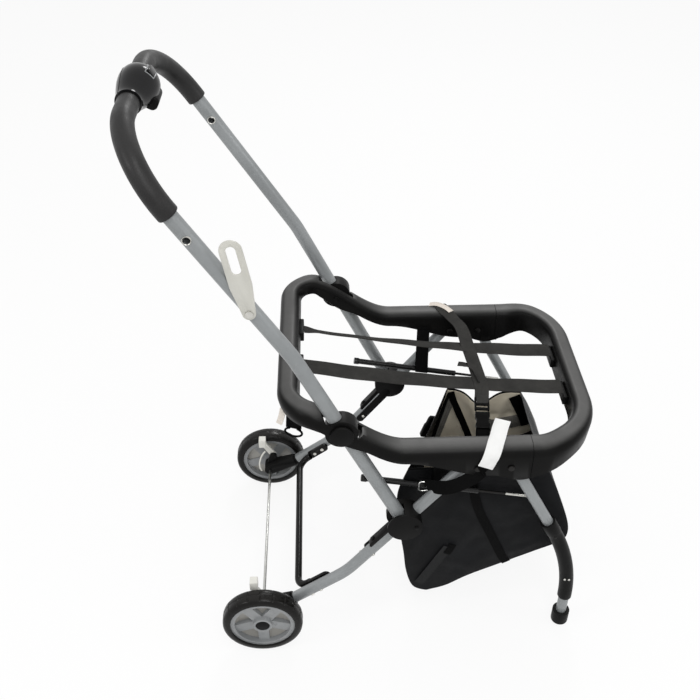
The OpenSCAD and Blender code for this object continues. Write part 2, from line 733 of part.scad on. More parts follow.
module bow_line(d, wall) {
    bow_plane() bent_tube(
        [[handle_y, bow_start], [handle_y, handle_upper_l], [-handle_y, handle_upper_l], [-handle_y, bow_start]],
        bow_r, d, wall);
}

module handle_bow() {
    color(tube_grey) bow_line(handle_d, tube_wall);
}

// Round plastic hub on each handle tube, turning with it inside the rail
module handle_collars() {
    half = handle_d / 2 + collar_wall;
    color(plastic_black) both_sides() difference() {
        cross_bar(handle_pivot, 2 * collar_r, handle_y - half, handle_y + half);
        side_bar(handle_pivot - 2 * collar_r * handle_dir, handle_pivot + 2 * collar_r * handle_dir,
            handle_d + 2 * seat_gap, handle_y);
        cross_bar(handle_pivot, handle_pin_d + 2 * pin_gap, handle_y - 2 * half, handle_y + 2 * half);
    }
}

// Foam grip: from just below the bow, round the corner, to the release housing
module grip() {
    bore = handle_d + 2 * seat_gap;
    color(foam_black) bow_plane() bent_tube(
        [[handle_y, grip_end], [handle_y, handle_upper_l], [housing_l / 2, handle_upper_l]],
        bow_r, grip_d, (grip_d - bore) / 2);
}

module grip_left() on_side("left") grip();
module grip_right() on_side("right") grip();

// Release housing: an egg round the middle of the crossbar, standing out to the front
housing_shift = 9;
trigger_w = 46;
trigger_h = 22;
trigger_in = 20;
trigger_out = 41;
slide_l = 24;
slide_w = 13;
slide_travel = 8;
slide_proud = 3.5;
housing_face = housing_shift + housing_d / 2;

module trigger_frame() {
    rotate([0, 45, 0]) children();
}

module release_housing() {
    end_d = grip_d + 6;
    pocket = 0.6;
    color(gloss_black) at_crossbar() difference() {
        hull() {
            translate([housing_shift, 0, 0]) sphere(d = housing_d, $fn = 32);
            for (s = [-1, 1]) translate([housing_shift * 0.6, s * housing_l * 0.25, 0])
                sphere(d = housing_d * 0.82, $fn = 32);
            rotate([90, 0, 0]) cylinder(d = end_d, h = housing_l, center = true, $fn = 32);
        }
        rotate([90, 0, 0]) cylinder(d = handle_d + 2 * seat_gap, h = 2 * housing_l, center = true);
        trigger_frame() translate([trigger_in - trigger_travel - pocket, -trigger_w / 2 - pocket, -trigger_h / 2 - pocket])
            cube([housing_d, trigger_w + 2 * pocket, trigger_h + 2 * pocket]);
        translate([housing_face - slide_proud, -slide_l / 2 - pocket, -pocket])
            cube([housing_d, slide_l + slide_travel + 2 * pocket, slide_w + 2 * pocket]);
    }
}

// Squeeze trigger, pulled straight towards the crossbar
module fold_trigger() {
    edge = 5;
    color(plastic_black) at_crossbar() trigger_frame() translate([0, trigger_w / 2, 0]) rotate([90, 0, 0])
        linear_extrude(trigger_w) polygon([
            [trigger_in, -trigger_h / 2], [trigger_out - edge, -trigger_h / 2], [trigger_out, -trigger_h / 2 + edge],
            [trigger_out, trigger_h / 2 - edge], [trigger_out - edge, trigger_h / 2], [trigger_in, trigger_h / 2]]);
}

// Thumb slide in the housing's front face
module thumb_slide() {
    floor_gap = 0.3;
    color(gloss_black) at_crossbar()
        translate([housing_face - slide_proud + floor_gap, -slide_l / 2, 0]) rotate([0, 90, 0]) rotate([0, 0, 90])
            linear_extrude(slide_proud * 1.7) polygon([
                [0, 0], [slide_l, 0], [slide_l, slide_w - 3], [slide_l - 3, slide_w], [3, slide_w], [0, slide_w - 3]]);
}

// Plugs that close the handle's lower ends and guide the lock plungers
plug_l = 36;
plug_flange = 2;
plunger_d = 10;
plunger_out = 6;
plunger_travel = trigger_travel;
handle_low = handle_pivot - handle_low_l * handle_dir;

module tube_plugs() {
    color(plastic_black) both_sides() difference() {
        union() {
            side_bar(handle_low - lap * handle_dir, handle_low + plug_l * handle_dir,
                handle_d - 2 * tube_wall - 2 * seat_gap, handle_y);
            side_bar(handle_low - plug_flange * handle_dir, handle_low, handle_d, handle_y);
        }
        side_bar(handle_low - handle_d * handle_dir, handle_low + (plug_l - 4) * handle_dir,
            plunger_d + 2 * pin_gap, handle_y);
    }
}

module lock_plunger() {
    tip = handle_low - plunger_out * handle_dir;
    color(steel) side_bar(tip, tip + (plug_l - 4 + plunger_out - plunger_travel - run_gap) * handle_dir,
        plunger_d, handle_y);
}

module lock_plunger_left() on_side("left") lock_plunger();
module lock_plunger_right() on_side("right") lock_plunger();

// Storage latch: a slotted plate that swings on the right handle tube
latch_below_grip = 184;
latch_pivot = handle_kink_at + (grip_end - latch_below_grip) * handle_top_dir;
latch_angle = 100;
latch_t = 3;
latch_y = handle_y + handle_d / 2 + seat_gap;
latch_rivet_d = 6;
latch_rivet_head = 12;
latch_tail_r = 10;
latch_slot_w = 14;
latch_slot_l = 46;

module latch_plate() {
    r = latch_w / 2;
    far = latch_l - r - latch_tail_r;
    near_slot = far - latch_slot_l + latch_slot_w;
    color(pale_grey) on_side("right") difference() {
        across(latch_y + run_gap, latch_y + run_gap + latch_t) translate(latch_pivot) rotate(latch_angle) difference() {
            union() {
                circle(r = latch_tail_r);
                translate([far, 0]) circle(r = r);
                polygon([[0, -latch_tail_r], [far * 0.45, -r], [far, -r], [far, r], [far * 0.45, r], [0, latch_tail_r]]);
            }
            translate([near_slot, 0]) circle(d = latch_slot_w);
            translate([far, 0]) circle(d = latch_slot_w);
            translate([near_slot, -latch_slot_w / 2]) square([far - near_slot, latch_slot_w]);
        }
        cross_bar(latch_pivot, latch_rivet_d + 2 * pin_gap, latch_y, latch_y + 4 * latch_t);
    }
}

module latch_rivet() {
    color(steel) on_side("right") {
        cross_bar(latch_pivot, latch_rivet_d, latch_y, latch_y + run_gap + latch_t + bush_gap + 2);
        cross_bar(latch_pivot, latch_rivet_head, latch_y + run_gap + latch_t + bush_gap,
            latch_y + run_gap + latch_t + bush_gap + 2);
        cross_bar(latch_pivot, latch_rivet_head, latch_y, latch_y + run_gap - bush_gap);
    }
}

// Rear legs: one bent tube each, from the wheel bracket to the pivot in the rail
module rear_leg() {
    color(tube_grey) difference() {
        side_tube([leg_end, leg_bend, leg_pivot + tube_end * leg_dir], leg_bend_r, leg_d, tube_wall, leg_y);
        cross_bar(leg_pivot, leg_pin_d + 2 * pin_gap, leg_y - leg_d, leg_y + leg_d);
    }
}

module rear_leg_left() on_side("left") rear_leg();
module rear_leg_right() on_side("right") rear_leg();

// Hub on the rear leg that takes the handle's lower end between two cheeks, open to the rear
hub_r = 31;
hub_wall = 3;
hub_cheek = 4;
hub_floor = leg_d / 2 + hub_wall;
hub_mid = [4, 6];
hub_arm_l = 88;
hub_in = leg_y - leg_d / 2 - hub_wall;
hub_slot_in = handle_y - handle_d / 2 - run_gap;
hub_slot_out = handle_y + handle_d / 2 + run_gap;
hub_out = hub_slot_out + hub_cheek;

module hub() {
    lean = handle_angle - leg_upper_slope;
    stop = (handle_d / 2 + run_gap) / sin(lean);
    top = 2 * hub_r;
    arm_top = leg_d / 2 + 5;
    color(plastic_black) on_slope(handle_meet, leg_upper_slope, 0) difference() {
        union() {
            difference() {
                across(hub_in, hub_out) translate(hub_mid) circle(r = hub_r);
                across(hub_slot_in, hub_slot_out) polygon([
                    [-2 * hub_r, hub_floor], [stop + hub_floor / tan(lean), hub_floor],
                    [stop + top / tan(lean), top], [-2 * hub_r, top]]);
            }
            across(leg_y - leg_d / 3, leg_y + leg_d / 3) polygon([
                [-hub_arm_l, 0], [-hub_arm_l, leg_d / 2 + 2], [-hub_arm_l + 8, arm_top],
                [hub_mid[0] - hub_r + 4, arm_top], [hub_mid[0] - hub_r + 4, 0]]);
        }
        translate([-2 * hub_arm_l, leg_y, 0]) rotate([0, 90, 0])
            cylinder(d = leg_d + 2 * seat_gap, h = 4 * hub_arm_l);
    }
}

module hub_left() on_side("left") hub();
module hub_right() on_side("right") hub();

// Cross tube: a shallow bow whose flattened ends lie on the inner sides of the legs
paddle_t = 6;
paddle_w = 18;
paddle_l = 46;
cross_at = leg_end + 6 * heading(leg_slope);
cross_run = 30;
paddle_in = leg_y - leg_d / 2 - paddle_t;
cross_y = leg_y - leg_d / 2 - cross_d / 2;
rivet_d = 5;
rivet_head = 8;
rivet_at = [cross_run + 12, cross_run + 32];

module cross_tube() {
    color(gloss_black) {
        translate([cross_at[0], 0, cross_at[1]]) rotate([0, -leg_slope, 0]) bent_tube(
            [[cross_run, cross_y - seat_gap], [0, cross_y - seat_gap], [0, -cross_y + seat_gap],
             [cross_run, -cross_y + seat_gap]], cross_bend_r, cross_d, tube_wall);
        both_sides() on_slope(cross_at, leg_slope, 0) difference() {
            across(paddle_in - seat_gap, paddle_in + paddle_t - seat_gap) {
                translate([cross_run, -paddle_w / 2]) square([paddle_l - paddle_w / 2, paddle_w]);
                translate([cross_run + paddle_l - paddle_w / 2, 0]) circle(d = paddle_w);
            }
            for (t = rivet_at) cross_bar([t, 0], rivet_d + 2 * seat_gap, paddle_in - paddle_t, leg_y);
        }
    }
}

// Rivets of the cross tube's ends and of the hubs' arms
module frame_rivets() {
    color(steel) both_sides() {
        on_slope(cross_at, leg_slope, 0) for (t = rivet_at) {
            cross_bar([t, 0], rivet_d, paddle_in - 2, paddle_in + paddle_t - 2 * seat_gap);
            cross_bar([t, 0], rivet_head, paddle_in - 2, paddle_in - seat_gap);
        }
        on_slope(handle_meet, leg_upper_slope, 0) translate([-hub_arm_l + 14, leg_y, leg_d / 2 + 5])
            cylinder(d = rivet_head, h = 2);
        on_slope(handle_meet, leg_upper_slope, 0) cross_bar([17, -10], rivet_head, hub_out, hub_out + 2);
    }
}

// Wheel bracket: socket for the leg, arm, axle boss and an ear for the brake lever
boss_d = 24;
socket_l = 15;
ear_at = [8, axle_z + 30];
ear_d = 16;
ear_t = 8;
boss_in = leg_y - leg_d / 2 - 2;
boss_out = wheel_in - wheel_gap / 2;
ear_in = boss_in + 10;
lever_pin_d = 5;

module wheel_bracket() {
    axle = [0, axle_z];
    mouth = leg_end + socket_l * heading(leg_slope);
    color(plastic_black) difference() {
        union() {
            hull() {
                cross_bar(axle, boss_d, boss_in, leg_y + leg_d / 2 + bracket_wall, $fn = 32);
                side_bar(leg_end - 8 * heading(leg_slope), mouth, leg_d + 2 * bracket_wall, leg_y, $fn = 32);
            }
            cross_bar(axle, boss_d, boss_in, boss_out);
            hull() {
                cross_bar(ear_at, ear_d, ear_in, ear_in + ear_t, $fn = 32);
                cross_bar(axle, ear_d, ear_in, ear_in + ear_t, $fn = 32);
            }
            cross_bar(ear_at, lever_pin_d, ear_in, ear_in + ear_t + lever_t + 2 * bush_gap);
        }
        cross_bar(axle, axle_d + 2 * seat_gap, boss_in - lap, boss_out + lap);
        side_bar(leg_end, mouth + leg_d * heading(leg_slope), leg_d + 2 * seat_gap, leg_y);
    }
}

module wheel_bracket_left() on_side("left") wheel_bracket();
module wheel_bracket_right() on_side("right") wheel_bracket();

module axle() {
    color(steel) cross_bar([0, axle_z], axle_d, -wheel_out + 6, wheel_out - 6);
}

// Brake lever: a pale pedal beside the wheel, trodden down to the rear
lever_t = 6;
lever_top = ear_at + [-22, 36];
pedal_w = 16;
pedal_h = 20;
pedal_l = 15;

module brake_lever() {
    lever_y = ear_in + ear_t + bush_gap;
    pedal_y = lever_y + lever_t - pedal_w / 2;
    color(pale_grey) difference() {
        union() {
            hull() {
                cross_bar(ear_at, 13, lever_y, lever_y + lever_t, $fn = 32);
                cross_bar(lever_top, 11, lever_y, lever_y + lever_t, $fn = 32);
            }
            hull() for (dx = [-1, 1], dz = [-1, 1])
                cross_bar(lever_top + [dx * (pedal_l / 2 - 2), dz * (pedal_h / 2 - 2) + 6], 4,
                    pedal_y - pedal_w / 2, pedal_y + pedal_w / 2, $fn = 16);
        }
        cross_bar(ear_at, lever_pin_d + 2 * pin_gap, ear_in, wheel_in);
    }
}

module brake_lever_left() on_side("left") brake_lever();
module brake_lever_right() on_side("right") brake_lever();

// Rear wheel: tyre, spoked rim and hub cap
rim_d = wheel_d - 2 * tyre_t;
rim_w = tyre_w - 7;
rim_t = 8;
spoke_t = 14;
wheel_boss_d = 36;
cap_d = 27;
cap_h = 5;
tyre_round = 6;

module on_axle() {
    translate([0, wheel_y, axle_z]) rotate([-90, 0, 0]) children();
}

module tyre() {
    half = tyre_w / 2;
    color(tyre_black) on_axle() rotate_extrude() {
        translate([rim_d / 2 + seat_gap, -half + tyre_round])
            square([tyre_t - seat_gap, tyre_w - 2 * tyre_round]);
        translate([rim_d / 2 + seat_gap, -half]) square([tyre_t - tyre_round - seat_gap, tyre_w]);
        for (s = [-1, 1]) translate([wheel_d / 2 - tyre_round, s * (half - tyre_round)]) circle(r = tyre_round);
    }
}

module rim() {
    run_l = rim_d / 2 - rim_t + lap;
    color(rim_grey) on_axle() difference() {
        union() {
            rotate_extrude() translate([rim_d / 2 - rim_t, -rim_w / 2]) square([rim_t, rim_w]);
            for (k = [0:spokes - 1]) rotate(90 + 360 * k / spokes) translate([0, -spoke_w / 2, -spoke_t / 2])
                cube([run_l, spoke_w, spoke_t]);
            translate([0, 0, -tyre_w / 2 - wheel_gap / 4]) cylinder(d = wheel_boss_d, h = tyre_w - 2 + wheel_gap / 4);
        }
        translate([0, 0, -tyre_w]) cylinder(d = axle_d + 2 * pin_gap, h = 2 * tyre_w);
        translate([0, 0, tyre_w / 2 - 2 - cap_h]) cylinder(d = cap_d + 2 * seat_gap, h = tyre_w);
    }
}

module hub_cap() {
    color(gloss_black) on_axle() translate([0, 0, tyre_w / 2 - 2 - cap_h]) difference() {
        cylinder(d = cap_d, h = cap_h);
        translate([0, 0, -lap]) cylinder(d = axle_d + 3, h = cap_h - 1);
    }
}

module tyre_left() on_side("left") tyre();
module tyre_right() on_side("right") tyre();
module rim_left() on_side("left") rim();
module rim_right() on_side("right") rim();
module hub_cap_left() on_side("left") hub_cap();
module hub_cap_right() on_side("right") hub_cap();

// Front legs: tube, bent plastic sleeve, post and the cap that it stands on
module front_tube() {
    color(tube_grey) difference() {
        side_bar(front_pivot - tube_end * front_dir, sleeve_top, front_d, front_y);
        side_bar(front_pivot - 2 * tube_end * front_dir, sleeve_top + front_d * front_dir, front_d - 2 * tube_wall, front_y);
        cross_bar(front_pivot, leg_pin_d + 2 * pin_gap, front_y - front_d, front_y + front_d);
    }
}

module front_sleeve() {
    bore = front_d + 2 * seat_gap;
    color(plastic_black) difference() {
        union() {
            side_bar(sleeve_top - sleeve_socket * front_dir, sleeve_top + lap * front_dir, sleeve_d + sleeve_lip, front_y);
            translate([post_x - sleeve_r, front_y, post_top]) rotate([90, 0, 0])
                rotate_extrude(angle = 90 - front_slope) translate([sleeve_r, 0]) circle(d = sleeve_d);
        }
        side_bar(sleeve_top - 2 * sleeve_socket * front_dir, sleeve_top, bore, front_y);
        side_bar([post_x, post_top - lap], [post_x, post_top + post_socket], bore, front_y);
    }
}

module front_post() {
    color(tube_grey) side_bar([post_x, foot_h - post_socket], [post_x, post_top + post_socket - lap], front_d, front_y);
}

module front_foot() {
    edge = 4;
    color(plastic_black) difference() {
        translate([post_x, front_y, 0]) union() {
            cylinder(d1 = foot_d - 2 * edge, d2 = foot_d, h = edge);
            translate([0, 0, edge]) cylinder(d = foot_d, h = foot_h - edge);
        }
        side_bar([post_x, foot_h - post_socket - lap], [post_x, 2 * foot_h], front_d + 2 * seat_gap, front_y);
    }
}

module front_tube_left() on_side("left") front_tube();
module front_tube_right() on_side("right") front_tube();
module front_sleeve_left() on_side("left") front_sleeve();
module front_sleeve_right() on_side("right") front_sleeve();
module front_post_left() on_side("left") front_post();
module front_post_right() on_side("right") front_post();
module front_foot_left() on_side("left") front_foot();
module front_foot_right() on_side("right") front_foot();

// Moves a sub-part so that the frame's middle stands over the origin
module placed() {
    translate([-middle_x, 0, 0]) children();
}

placed() ring_rear();
placed() ring_front();
placed() handle_pins();
placed() leg_pins();
placed() front_pins();
placed() pivot_bushes();
placed() seat_strap_left();
placed() seat_strap_right();
placed() strap_clips();
placed() safety_strap();
placed() buckle_socket();
placed() buckle_tongue();
placed() basket();
placed() basket_rods();
placed() rod_sleeves();
placed() rod_hangers();
placed() strap_hook();
placed() rear_tether();
placed() handle_tube_left();
placed() handle_tube_right();
placed() handle_bow();
placed() handle_collars();
placed() grip_left();
placed() grip_right();
placed() release_housing();
placed() fold_trigger();
placed() thumb_slide();
placed() tube_plugs();
placed() lock_plunger_left();
placed() lock_plunger_right();
placed() latch_plate();
placed() latch_rivet();
placed() rear_leg_left();
placed() rear_leg_right();
placed() hub_left();
placed() hub_right();
placed() cross_tube();
placed() frame_rivets();
placed() wheel_bracket_left();
placed() wheel_bracket_right();
placed() axle();
placed() brake_lever_left();
placed() brake_lever_right();
placed() tyre_left();
placed() tyre_right();
placed() rim_left();
placed() rim_right();
placed() hub_cap_left();
placed() hub_cap_right();
placed() front_tube_left();
placed() front_tube_right();
placed() front_sleeve_left();
placed() front_sleeve_right();
placed() front_post_left();
placed() front_post_right();
placed() front_foot_left();
placed() front_foot_right();
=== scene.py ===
import json
import math

import bmesh
import bpy
from mathutils import Euler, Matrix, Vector, noise


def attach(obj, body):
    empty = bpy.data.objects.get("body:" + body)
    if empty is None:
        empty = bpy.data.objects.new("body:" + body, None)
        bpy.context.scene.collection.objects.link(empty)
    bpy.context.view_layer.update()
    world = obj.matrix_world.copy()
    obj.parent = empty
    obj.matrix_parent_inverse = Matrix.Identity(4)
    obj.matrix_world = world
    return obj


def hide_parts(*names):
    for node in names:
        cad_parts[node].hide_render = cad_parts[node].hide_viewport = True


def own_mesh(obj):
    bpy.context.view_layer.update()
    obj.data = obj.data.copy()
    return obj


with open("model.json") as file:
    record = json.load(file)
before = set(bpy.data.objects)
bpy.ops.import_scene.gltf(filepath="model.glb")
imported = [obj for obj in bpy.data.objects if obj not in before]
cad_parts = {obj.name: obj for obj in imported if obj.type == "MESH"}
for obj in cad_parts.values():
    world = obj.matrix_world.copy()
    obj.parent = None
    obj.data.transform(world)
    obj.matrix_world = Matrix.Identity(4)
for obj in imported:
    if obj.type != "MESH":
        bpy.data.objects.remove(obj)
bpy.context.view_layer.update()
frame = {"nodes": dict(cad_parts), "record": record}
cad, record = frame["nodes"], frame["record"]
bodyOf = {node: body for body, members in record["behaviour"]["bodies"].items() for node in members}
slotOf = {entry["node"]: entry["material_slot"] for entry in record["subparts"]}
middleX = 222.919  # from the rear axle to the middle of the part, in millimetres
weldGap = 2e-6  # points closer than this, in metres, become one
flatAngle = 0.012  # faces that meet at less than this, in radians, become one
bothSides = ((1, "left"), (-1, "right"))
print("frame loaded")


# Side-view millimetres, with x from the rear axle, as metres in the row's frame
def at(x, y, z):
    return Vector(((x - middleX) / 1000, y / 1000, z / 1000))


class Wire:
    def __init__(self, tree, socket=None):
        self.tree = tree
        self.socket = socket

    def node(self, kind, inputs=None, **settings):
        made = self.tree.nodes.new(kind)
        for key, value in settings.items():
            setattr(made, key, value)
        for key, value in (inputs or {}).items():
            if isinstance(value, Wire):
                self.tree.links.new(value.socket, made.inputs[key])
            else:
                made.inputs[key].default_value = value
        return made

    def wire(self, kind, inputs, output=0, **settings):
        return Wire(self.tree, self.node(kind, inputs, **settings).outputs[output])

    def maths(self, operation, *others):
        return self.wire("ShaderNodeMath", dict(enumerate((self,) + others)), operation=operation)

    def __add__(self, other):
        return self.maths("ADD", other)

    def __radd__(self, other):
        return self + other

    def __mul__(self, other):
        return self.maths("MULTIPLY", other)

    def __rmul__(self, other):
        return self * other

    def __sub__(self, other):
        return self.maths("SUBTRACT", other)

    def __rsub__(self, other):
        return self * -1 + other

    def power(self, exponent):
        return self.maths("POWER", exponent)

    def spread(self, low, high, outLow=0.0, outHigh=1.0):
        return self.wire("ShaderNodeMapRange", {0: self, 1: low, 2: high, 3: outLow, 4: outHigh}, clamp=True)

    def between(self, dark, light):
        ends = [end if isinstance(end, Wire) else (*end, 1) for end in (dark, light)]
        return self.wire("ShaderNodeMix", {0: self, 6: ends[0], 7: ends[1]}, 2, data_type="RGBA")

    def stretched(self, x, y, z):
        return self.wire("ShaderNodeMapping", {0: self, 3: (x, y, z)})

    def noise(self, scale, detail=2.0, rough=0.5):
        inputs = {"Vector": self, "Scale": scale, "Detail": detail, "Roughness": rough}
        return self.wire("ShaderNodeTexNoise", inputs)

    def cells(self, scale):
        return self.wire("ShaderNodeTexVoronoi", {"Vector": self, "Scale": scale})

    def part(self, axis):
        return self.wire("ShaderNodeSeparateXYZ", {0: self}, axis)

    def ridges(self, pitch):
        return (self * (2 * math.pi / pitch)).maths("SINE") * 0.5 + 0.5


class Surface:
    def __init__(self, name, colour, rough, **constants):
        self.material = bpy.data.materials.new(name)
        self.material.use_nodes = True
        self.tree = self.material.node_tree
        self.shader = next(n for n in self.tree.nodes if n.type == "BSDF_PRINCIPLED")
        self.shader.inputs["Base Color"].default_value = (*colour, 1)
        self.shader.inputs["Roughness"].default_value = rough
        for key, value in constants.items():
            self.shader.inputs[key.replace("_", " ")].default_value = value
        self.material.diffuse_color = (*colour, 1)
        self.coords = Wire(self.tree).node("ShaderNodeTexCoord")

    def place(self, kind="Object"):
        return Wire(self.tree, self.coords.outputs[kind])

    def colour(self, wire):
        self.tree.links.new(wire.socket, self.shader.inputs["Base Color"])

    def rough(self, wire):
        self.tree.links.new(wire.socket, self.shader.inputs["Roughness"])

    def bump(self, wire, strength, distance):
        made = wire.node("ShaderNodeBump", {"Height": wire, "Strength": strength, "Distance": distance})
        self.tree.links.new(made.outputs[0], self.shader.inputs["Normal"])


# Moulded plastic: broad tone, fine grain, rubbed patches, and a painted highlight: what faces up is lightened
# in patches
def moulded(name, dark, light, rough, grain=900, depth=0.00012, strength=0.35, patch=14, rub=0.10,
            paintedHighlight=None, **constants):
    surface = Surface(name, light, rough, **constants)
    place = surface.place()
    tone = place.noise(patch, 4).spread(0.3, 0.7)
    speck = place.noise(grain, 2)
    colour = (tone * 0.75 + speck * 0.25).between(dark, light)
    # Painted highlight: faces that point up are lightened towards the given colour, broken up in patches
    if paintedHighlight:
        upward = surface.place("Normal").part(2).spread(0.62, 1.0)
        highlightPatches = place.noise(patch * 1.6, 5, 0.6).spread(0.25, 0.7, 0.75, 1.0)
        colour = (upward * upward * highlightPatches).between(colour, paintedHighlight)
    surface.colour(colour)
    surface.rough(place.noise(patch * 2.6, 5, 0.65).spread(0.3, 0.75, rough - rub, rough + rub))
    surface.bump(speck, strength, depth)
    return surface.material


# Satin paint on drawn tube: broad tone and small scuffs
def painted(name, dark, light, rough, **constants):
    surface = Surface(name, light, rough, **constants)
    place = surface.place()
    tone = place.noise(9, 5, 0.6).spread(0.3, 0.7)
    scuff = place.stretched(1, 1, 0.35).noise(130, 6, 0.7).spread(0.62, 0.72)
    surface.colour((tone * 0.8 + scuff * 0.35).between(dark, light))
    surface.rough(place.noise(30, 5, 0.7).spread(0.3, 0.7, rough - 0.07, rough + 0.10))
    surface.bump(place.noise(1400, 2), 0.15, 0.00008)
    return surface.material


# Plated metal: bright and dull patches
def plated(name, tint, rough):
    surface = Surface(name, tint, rough, Metallic=1.0)
    place = surface.place()
    dull = tuple(c * 0.72 for c in tint)
    surface.colour(place.noise(40, 5, 0.65).spread(0.3, 0.65).between(dull, tint))
    surface.rough(place.noise(90, 5, 0.7).spread(0.35, 0.75, rough, rough + 0.18))
    surface.bump(place.noise(600, 3), 0.12, 0.00005)
    return surface.material


# Foam: a skin of fine open cells
def foamed(name, dark, light, rough, **constants):
    surface = Surface(name, light, rough, **constants)
    place = surface.place()
    cell = place.cells(620)
    tone = place.noise(22, 4).spread(0.3, 0.72)
    surface.colour((tone * 0.7 + cell * 0.4).between(dark, light))
    surface.rough(place.noise(45, 4).spread(0.3, 0.7, rough - 0.08, rough + 0.1))
    surface.bump(cell * 0.6 + place.noise(1500, 2) * 0.4, 0.5, 0.0003)
    return surface.material


# Webbing: cross ribs and lengthways cords, from the strap's own length and width in metres
def webbed(name, dark, light, rib=0.0016, cord=0.0023):
    surface = Surface(name, light, 0.82, Specular_IOR_Level=0.06)
    flat = surface.place("UV")
    along, across = flat.part(0), flat.part(1)
    shift = (across * (math.pi / cord)).maths("SINE").maths("SIGN") * (rib / 4)
    weave = (along + shift).ridges(rib) * across.ridges(cord).power(0.6)
    tone = surface.place().noise(35, 5, 0.6).spread(0.3, 0.72)
    surface.colour((weave * 0.55 + tone * 0.45).between(dark, light))
    surface.rough(tone.spread(0, 1, 0.74, 0.9))
    surface.bump(weave, 0.6, 0.0005)
    return surface.material


# Plain-woven cloth: warp and weft from the cloth's own flat measures, faded in patches
def woven(name, dark, light, pitch=0.0011, rough=0.7, shine=0.4, strength=0.5):
    surface = Surface(name, light, rough, Specular_IOR_Level=shine)
    flat = surface.place("UV")
    warp, weft = flat.part(0).ridges(pitch), flat.part(1).ridges(pitch)
    weave = warp.maths("MAXIMUM", weft) * 0.7 + warp * weft * 0.3
    fade = surface.place().noise(11, 6, 0.65).spread(0.32, 0.72)
    surface.colour((weave * 0.35 + fade * 0.65).between(dark, light))
    surface.rough(fade.spread(0, 1, rough - 0.1, rough + 0.1))
    surface.bump(weave * 0.6 + surface.place().noise(60, 5, 0.6) * 1.6, strength, 0.0006)
    return surface.material


finishes = {
    # ring, black and tyre: the last colour given is a painted highlight on their upward faces
    "ring": moulded("ringPlastic", (0.0030, 0.0030, 0.0029), (0.0062, 0.0060, 0.0058), 0.36, grain=1100,
                    strength=0.5, rub=0.06, paintedHighlight=(0.120, 0.119, 0.117), Specular_IOR_Level=0.07),
    "black": moulded("blackPlastic", (0.0030, 0.0030, 0.0030), (0.0068, 0.0067, 0.0066), 0.40, grain=1000,
                     paintedHighlight=(0.014, 0.0138, 0.0134), Specular_IOR_Level=0.07),
    "buckle": moulded("bucklePlastic", (0.0012, 0.0012, 0.0012), (0.0035, 0.0035, 0.0035), 0.30,
                      Specular_IOR_Level=0.06),
    "gloss": moulded("glossBlack", (0.004, 0.004, 0.0042), (0.009, 0.009, 0.0095), 0.17, grain=400,
                     strength=0.06, rub=0.05, Specular_IOR_Level=0.22),
    "tube": painted("greyPaint", (0.215, 0.226, 0.230), (0.300, 0.315, 0.320), 0.36, Metallic=0.25),
    "foam": foamed("foamGrip", (0.0065, 0.0063, 0.0063), (0.019, 0.0185, 0.0185), 0.46,
                   Specular_IOR_Level=0.26),
    "steel": plated("platedSteel", (0.66, 0.65, 0.61), 0.24),
    "chrome": plated("chromePlate", (0.76, 0.76, 0.74), 0.12),
    "axle": plated("axleSteel", (0.58, 0.58, 0.56), 0.26),
    "dark": plated("darkSteel", (0.030, 0.029, 0.028), 0.38),
    "blackPaint": painted("blackPaint", (0.0028, 0.0026, 0.0026), (0.0062, 0.0058, 0.0058), 0.13,
                          Specular_IOR_Level=0.15),
    "rod": moulded("rodCoating", (0.003, 0.003, 0.003), (0.007, 0.007, 0.007), 0.24, grain=700,
                   strength=0.12, Specular_IOR_Level=0.28),
    "pale": moulded("palePlastic", (0.70, 0.69, 0.63), (0.82, 0.81, 0.76), 0.42, grain=800, strength=0.25),
    "latch": moulded("latchPlastic", (0.45, 0.445, 0.40), (0.59, 0.58, 0.535), 0.40, grain=800,
                     strength=0.25),
    "tyre": moulded("tyreRubber", (0.0036, 0.0034, 0.0031), (0.0085, 0.0079, 0.0072), 0.24, grain=700,
                    strength=0.25, rub=0.12, paintedHighlight=(0.018, 0.017, 0.0157), Specular_IOR_Level=0.15),
    "rim": moulded("rimPlastic", (0.17, 0.178, 0.184), (0.28, 0.288, 0.292), 0.34, grain=700,
                   strength=0.25, rub=0.12),
    "panel": moulded("rimPanel", (0.24, 0.232, 0.212), (0.36, 0.35, 0.325), 0.42, grain=600,
                     strength=0.25, rub=0.12),
    "webbing": webbed("greyWebbing", (0.020, 0.0196, 0.0187), (0.058, 0.0565, 0.0532)),
    "blackWebbing": webbed("blackWebbing", (0.0012, 0.0012, 0.0012), (0.0050, 0.0050, 0.0052)),
    "cloth": woven("blackCloth", (0.0016, 0.0017, 0.0020), (0.0100, 0.0105, 0.0116), rough=0.45, shine=0.06),
    "clothEdge": woven("wornCloth", (0.008, 0.0084, 0.0087), (0.021, 0.0215, 0.0222), rough=0.6, shine=0.08),
    "lining": woven("beigeLining", (0.70, 0.62, 0.48), (0.92, 0.85, 0.69), pitch=0.0014),
    "mesh": woven("greyMesh", (0.030, 0.029, 0.027), (0.34, 0.325, 0.29), pitch=0.0046, strength=0.9),
    "label": woven("whiteLabel", (0.74, 0.74, 0.73), (0.86, 0.86, 0.85), pitch=0.0007, rough=0.6,
                   strength=0.2),
    "tag": woven("paleTag", (0.60, 0.53, 0.46), (0.78, 0.735, 0.68), pitch=0.0008, rough=0.6, strength=0.2),
}
print("finishes made")


def made(name, mesh, finish, body, slotName, replaced=()):
    mesh.materials.clear()
    mesh.materials.append(finishes[finish])
    piece = bpy.data.objects.new(name, mesh)
    bpy.context.scene.collection.objects.link(piece)
    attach(piece, body)
    if replaced:
        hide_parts(*replaced)
    return piece


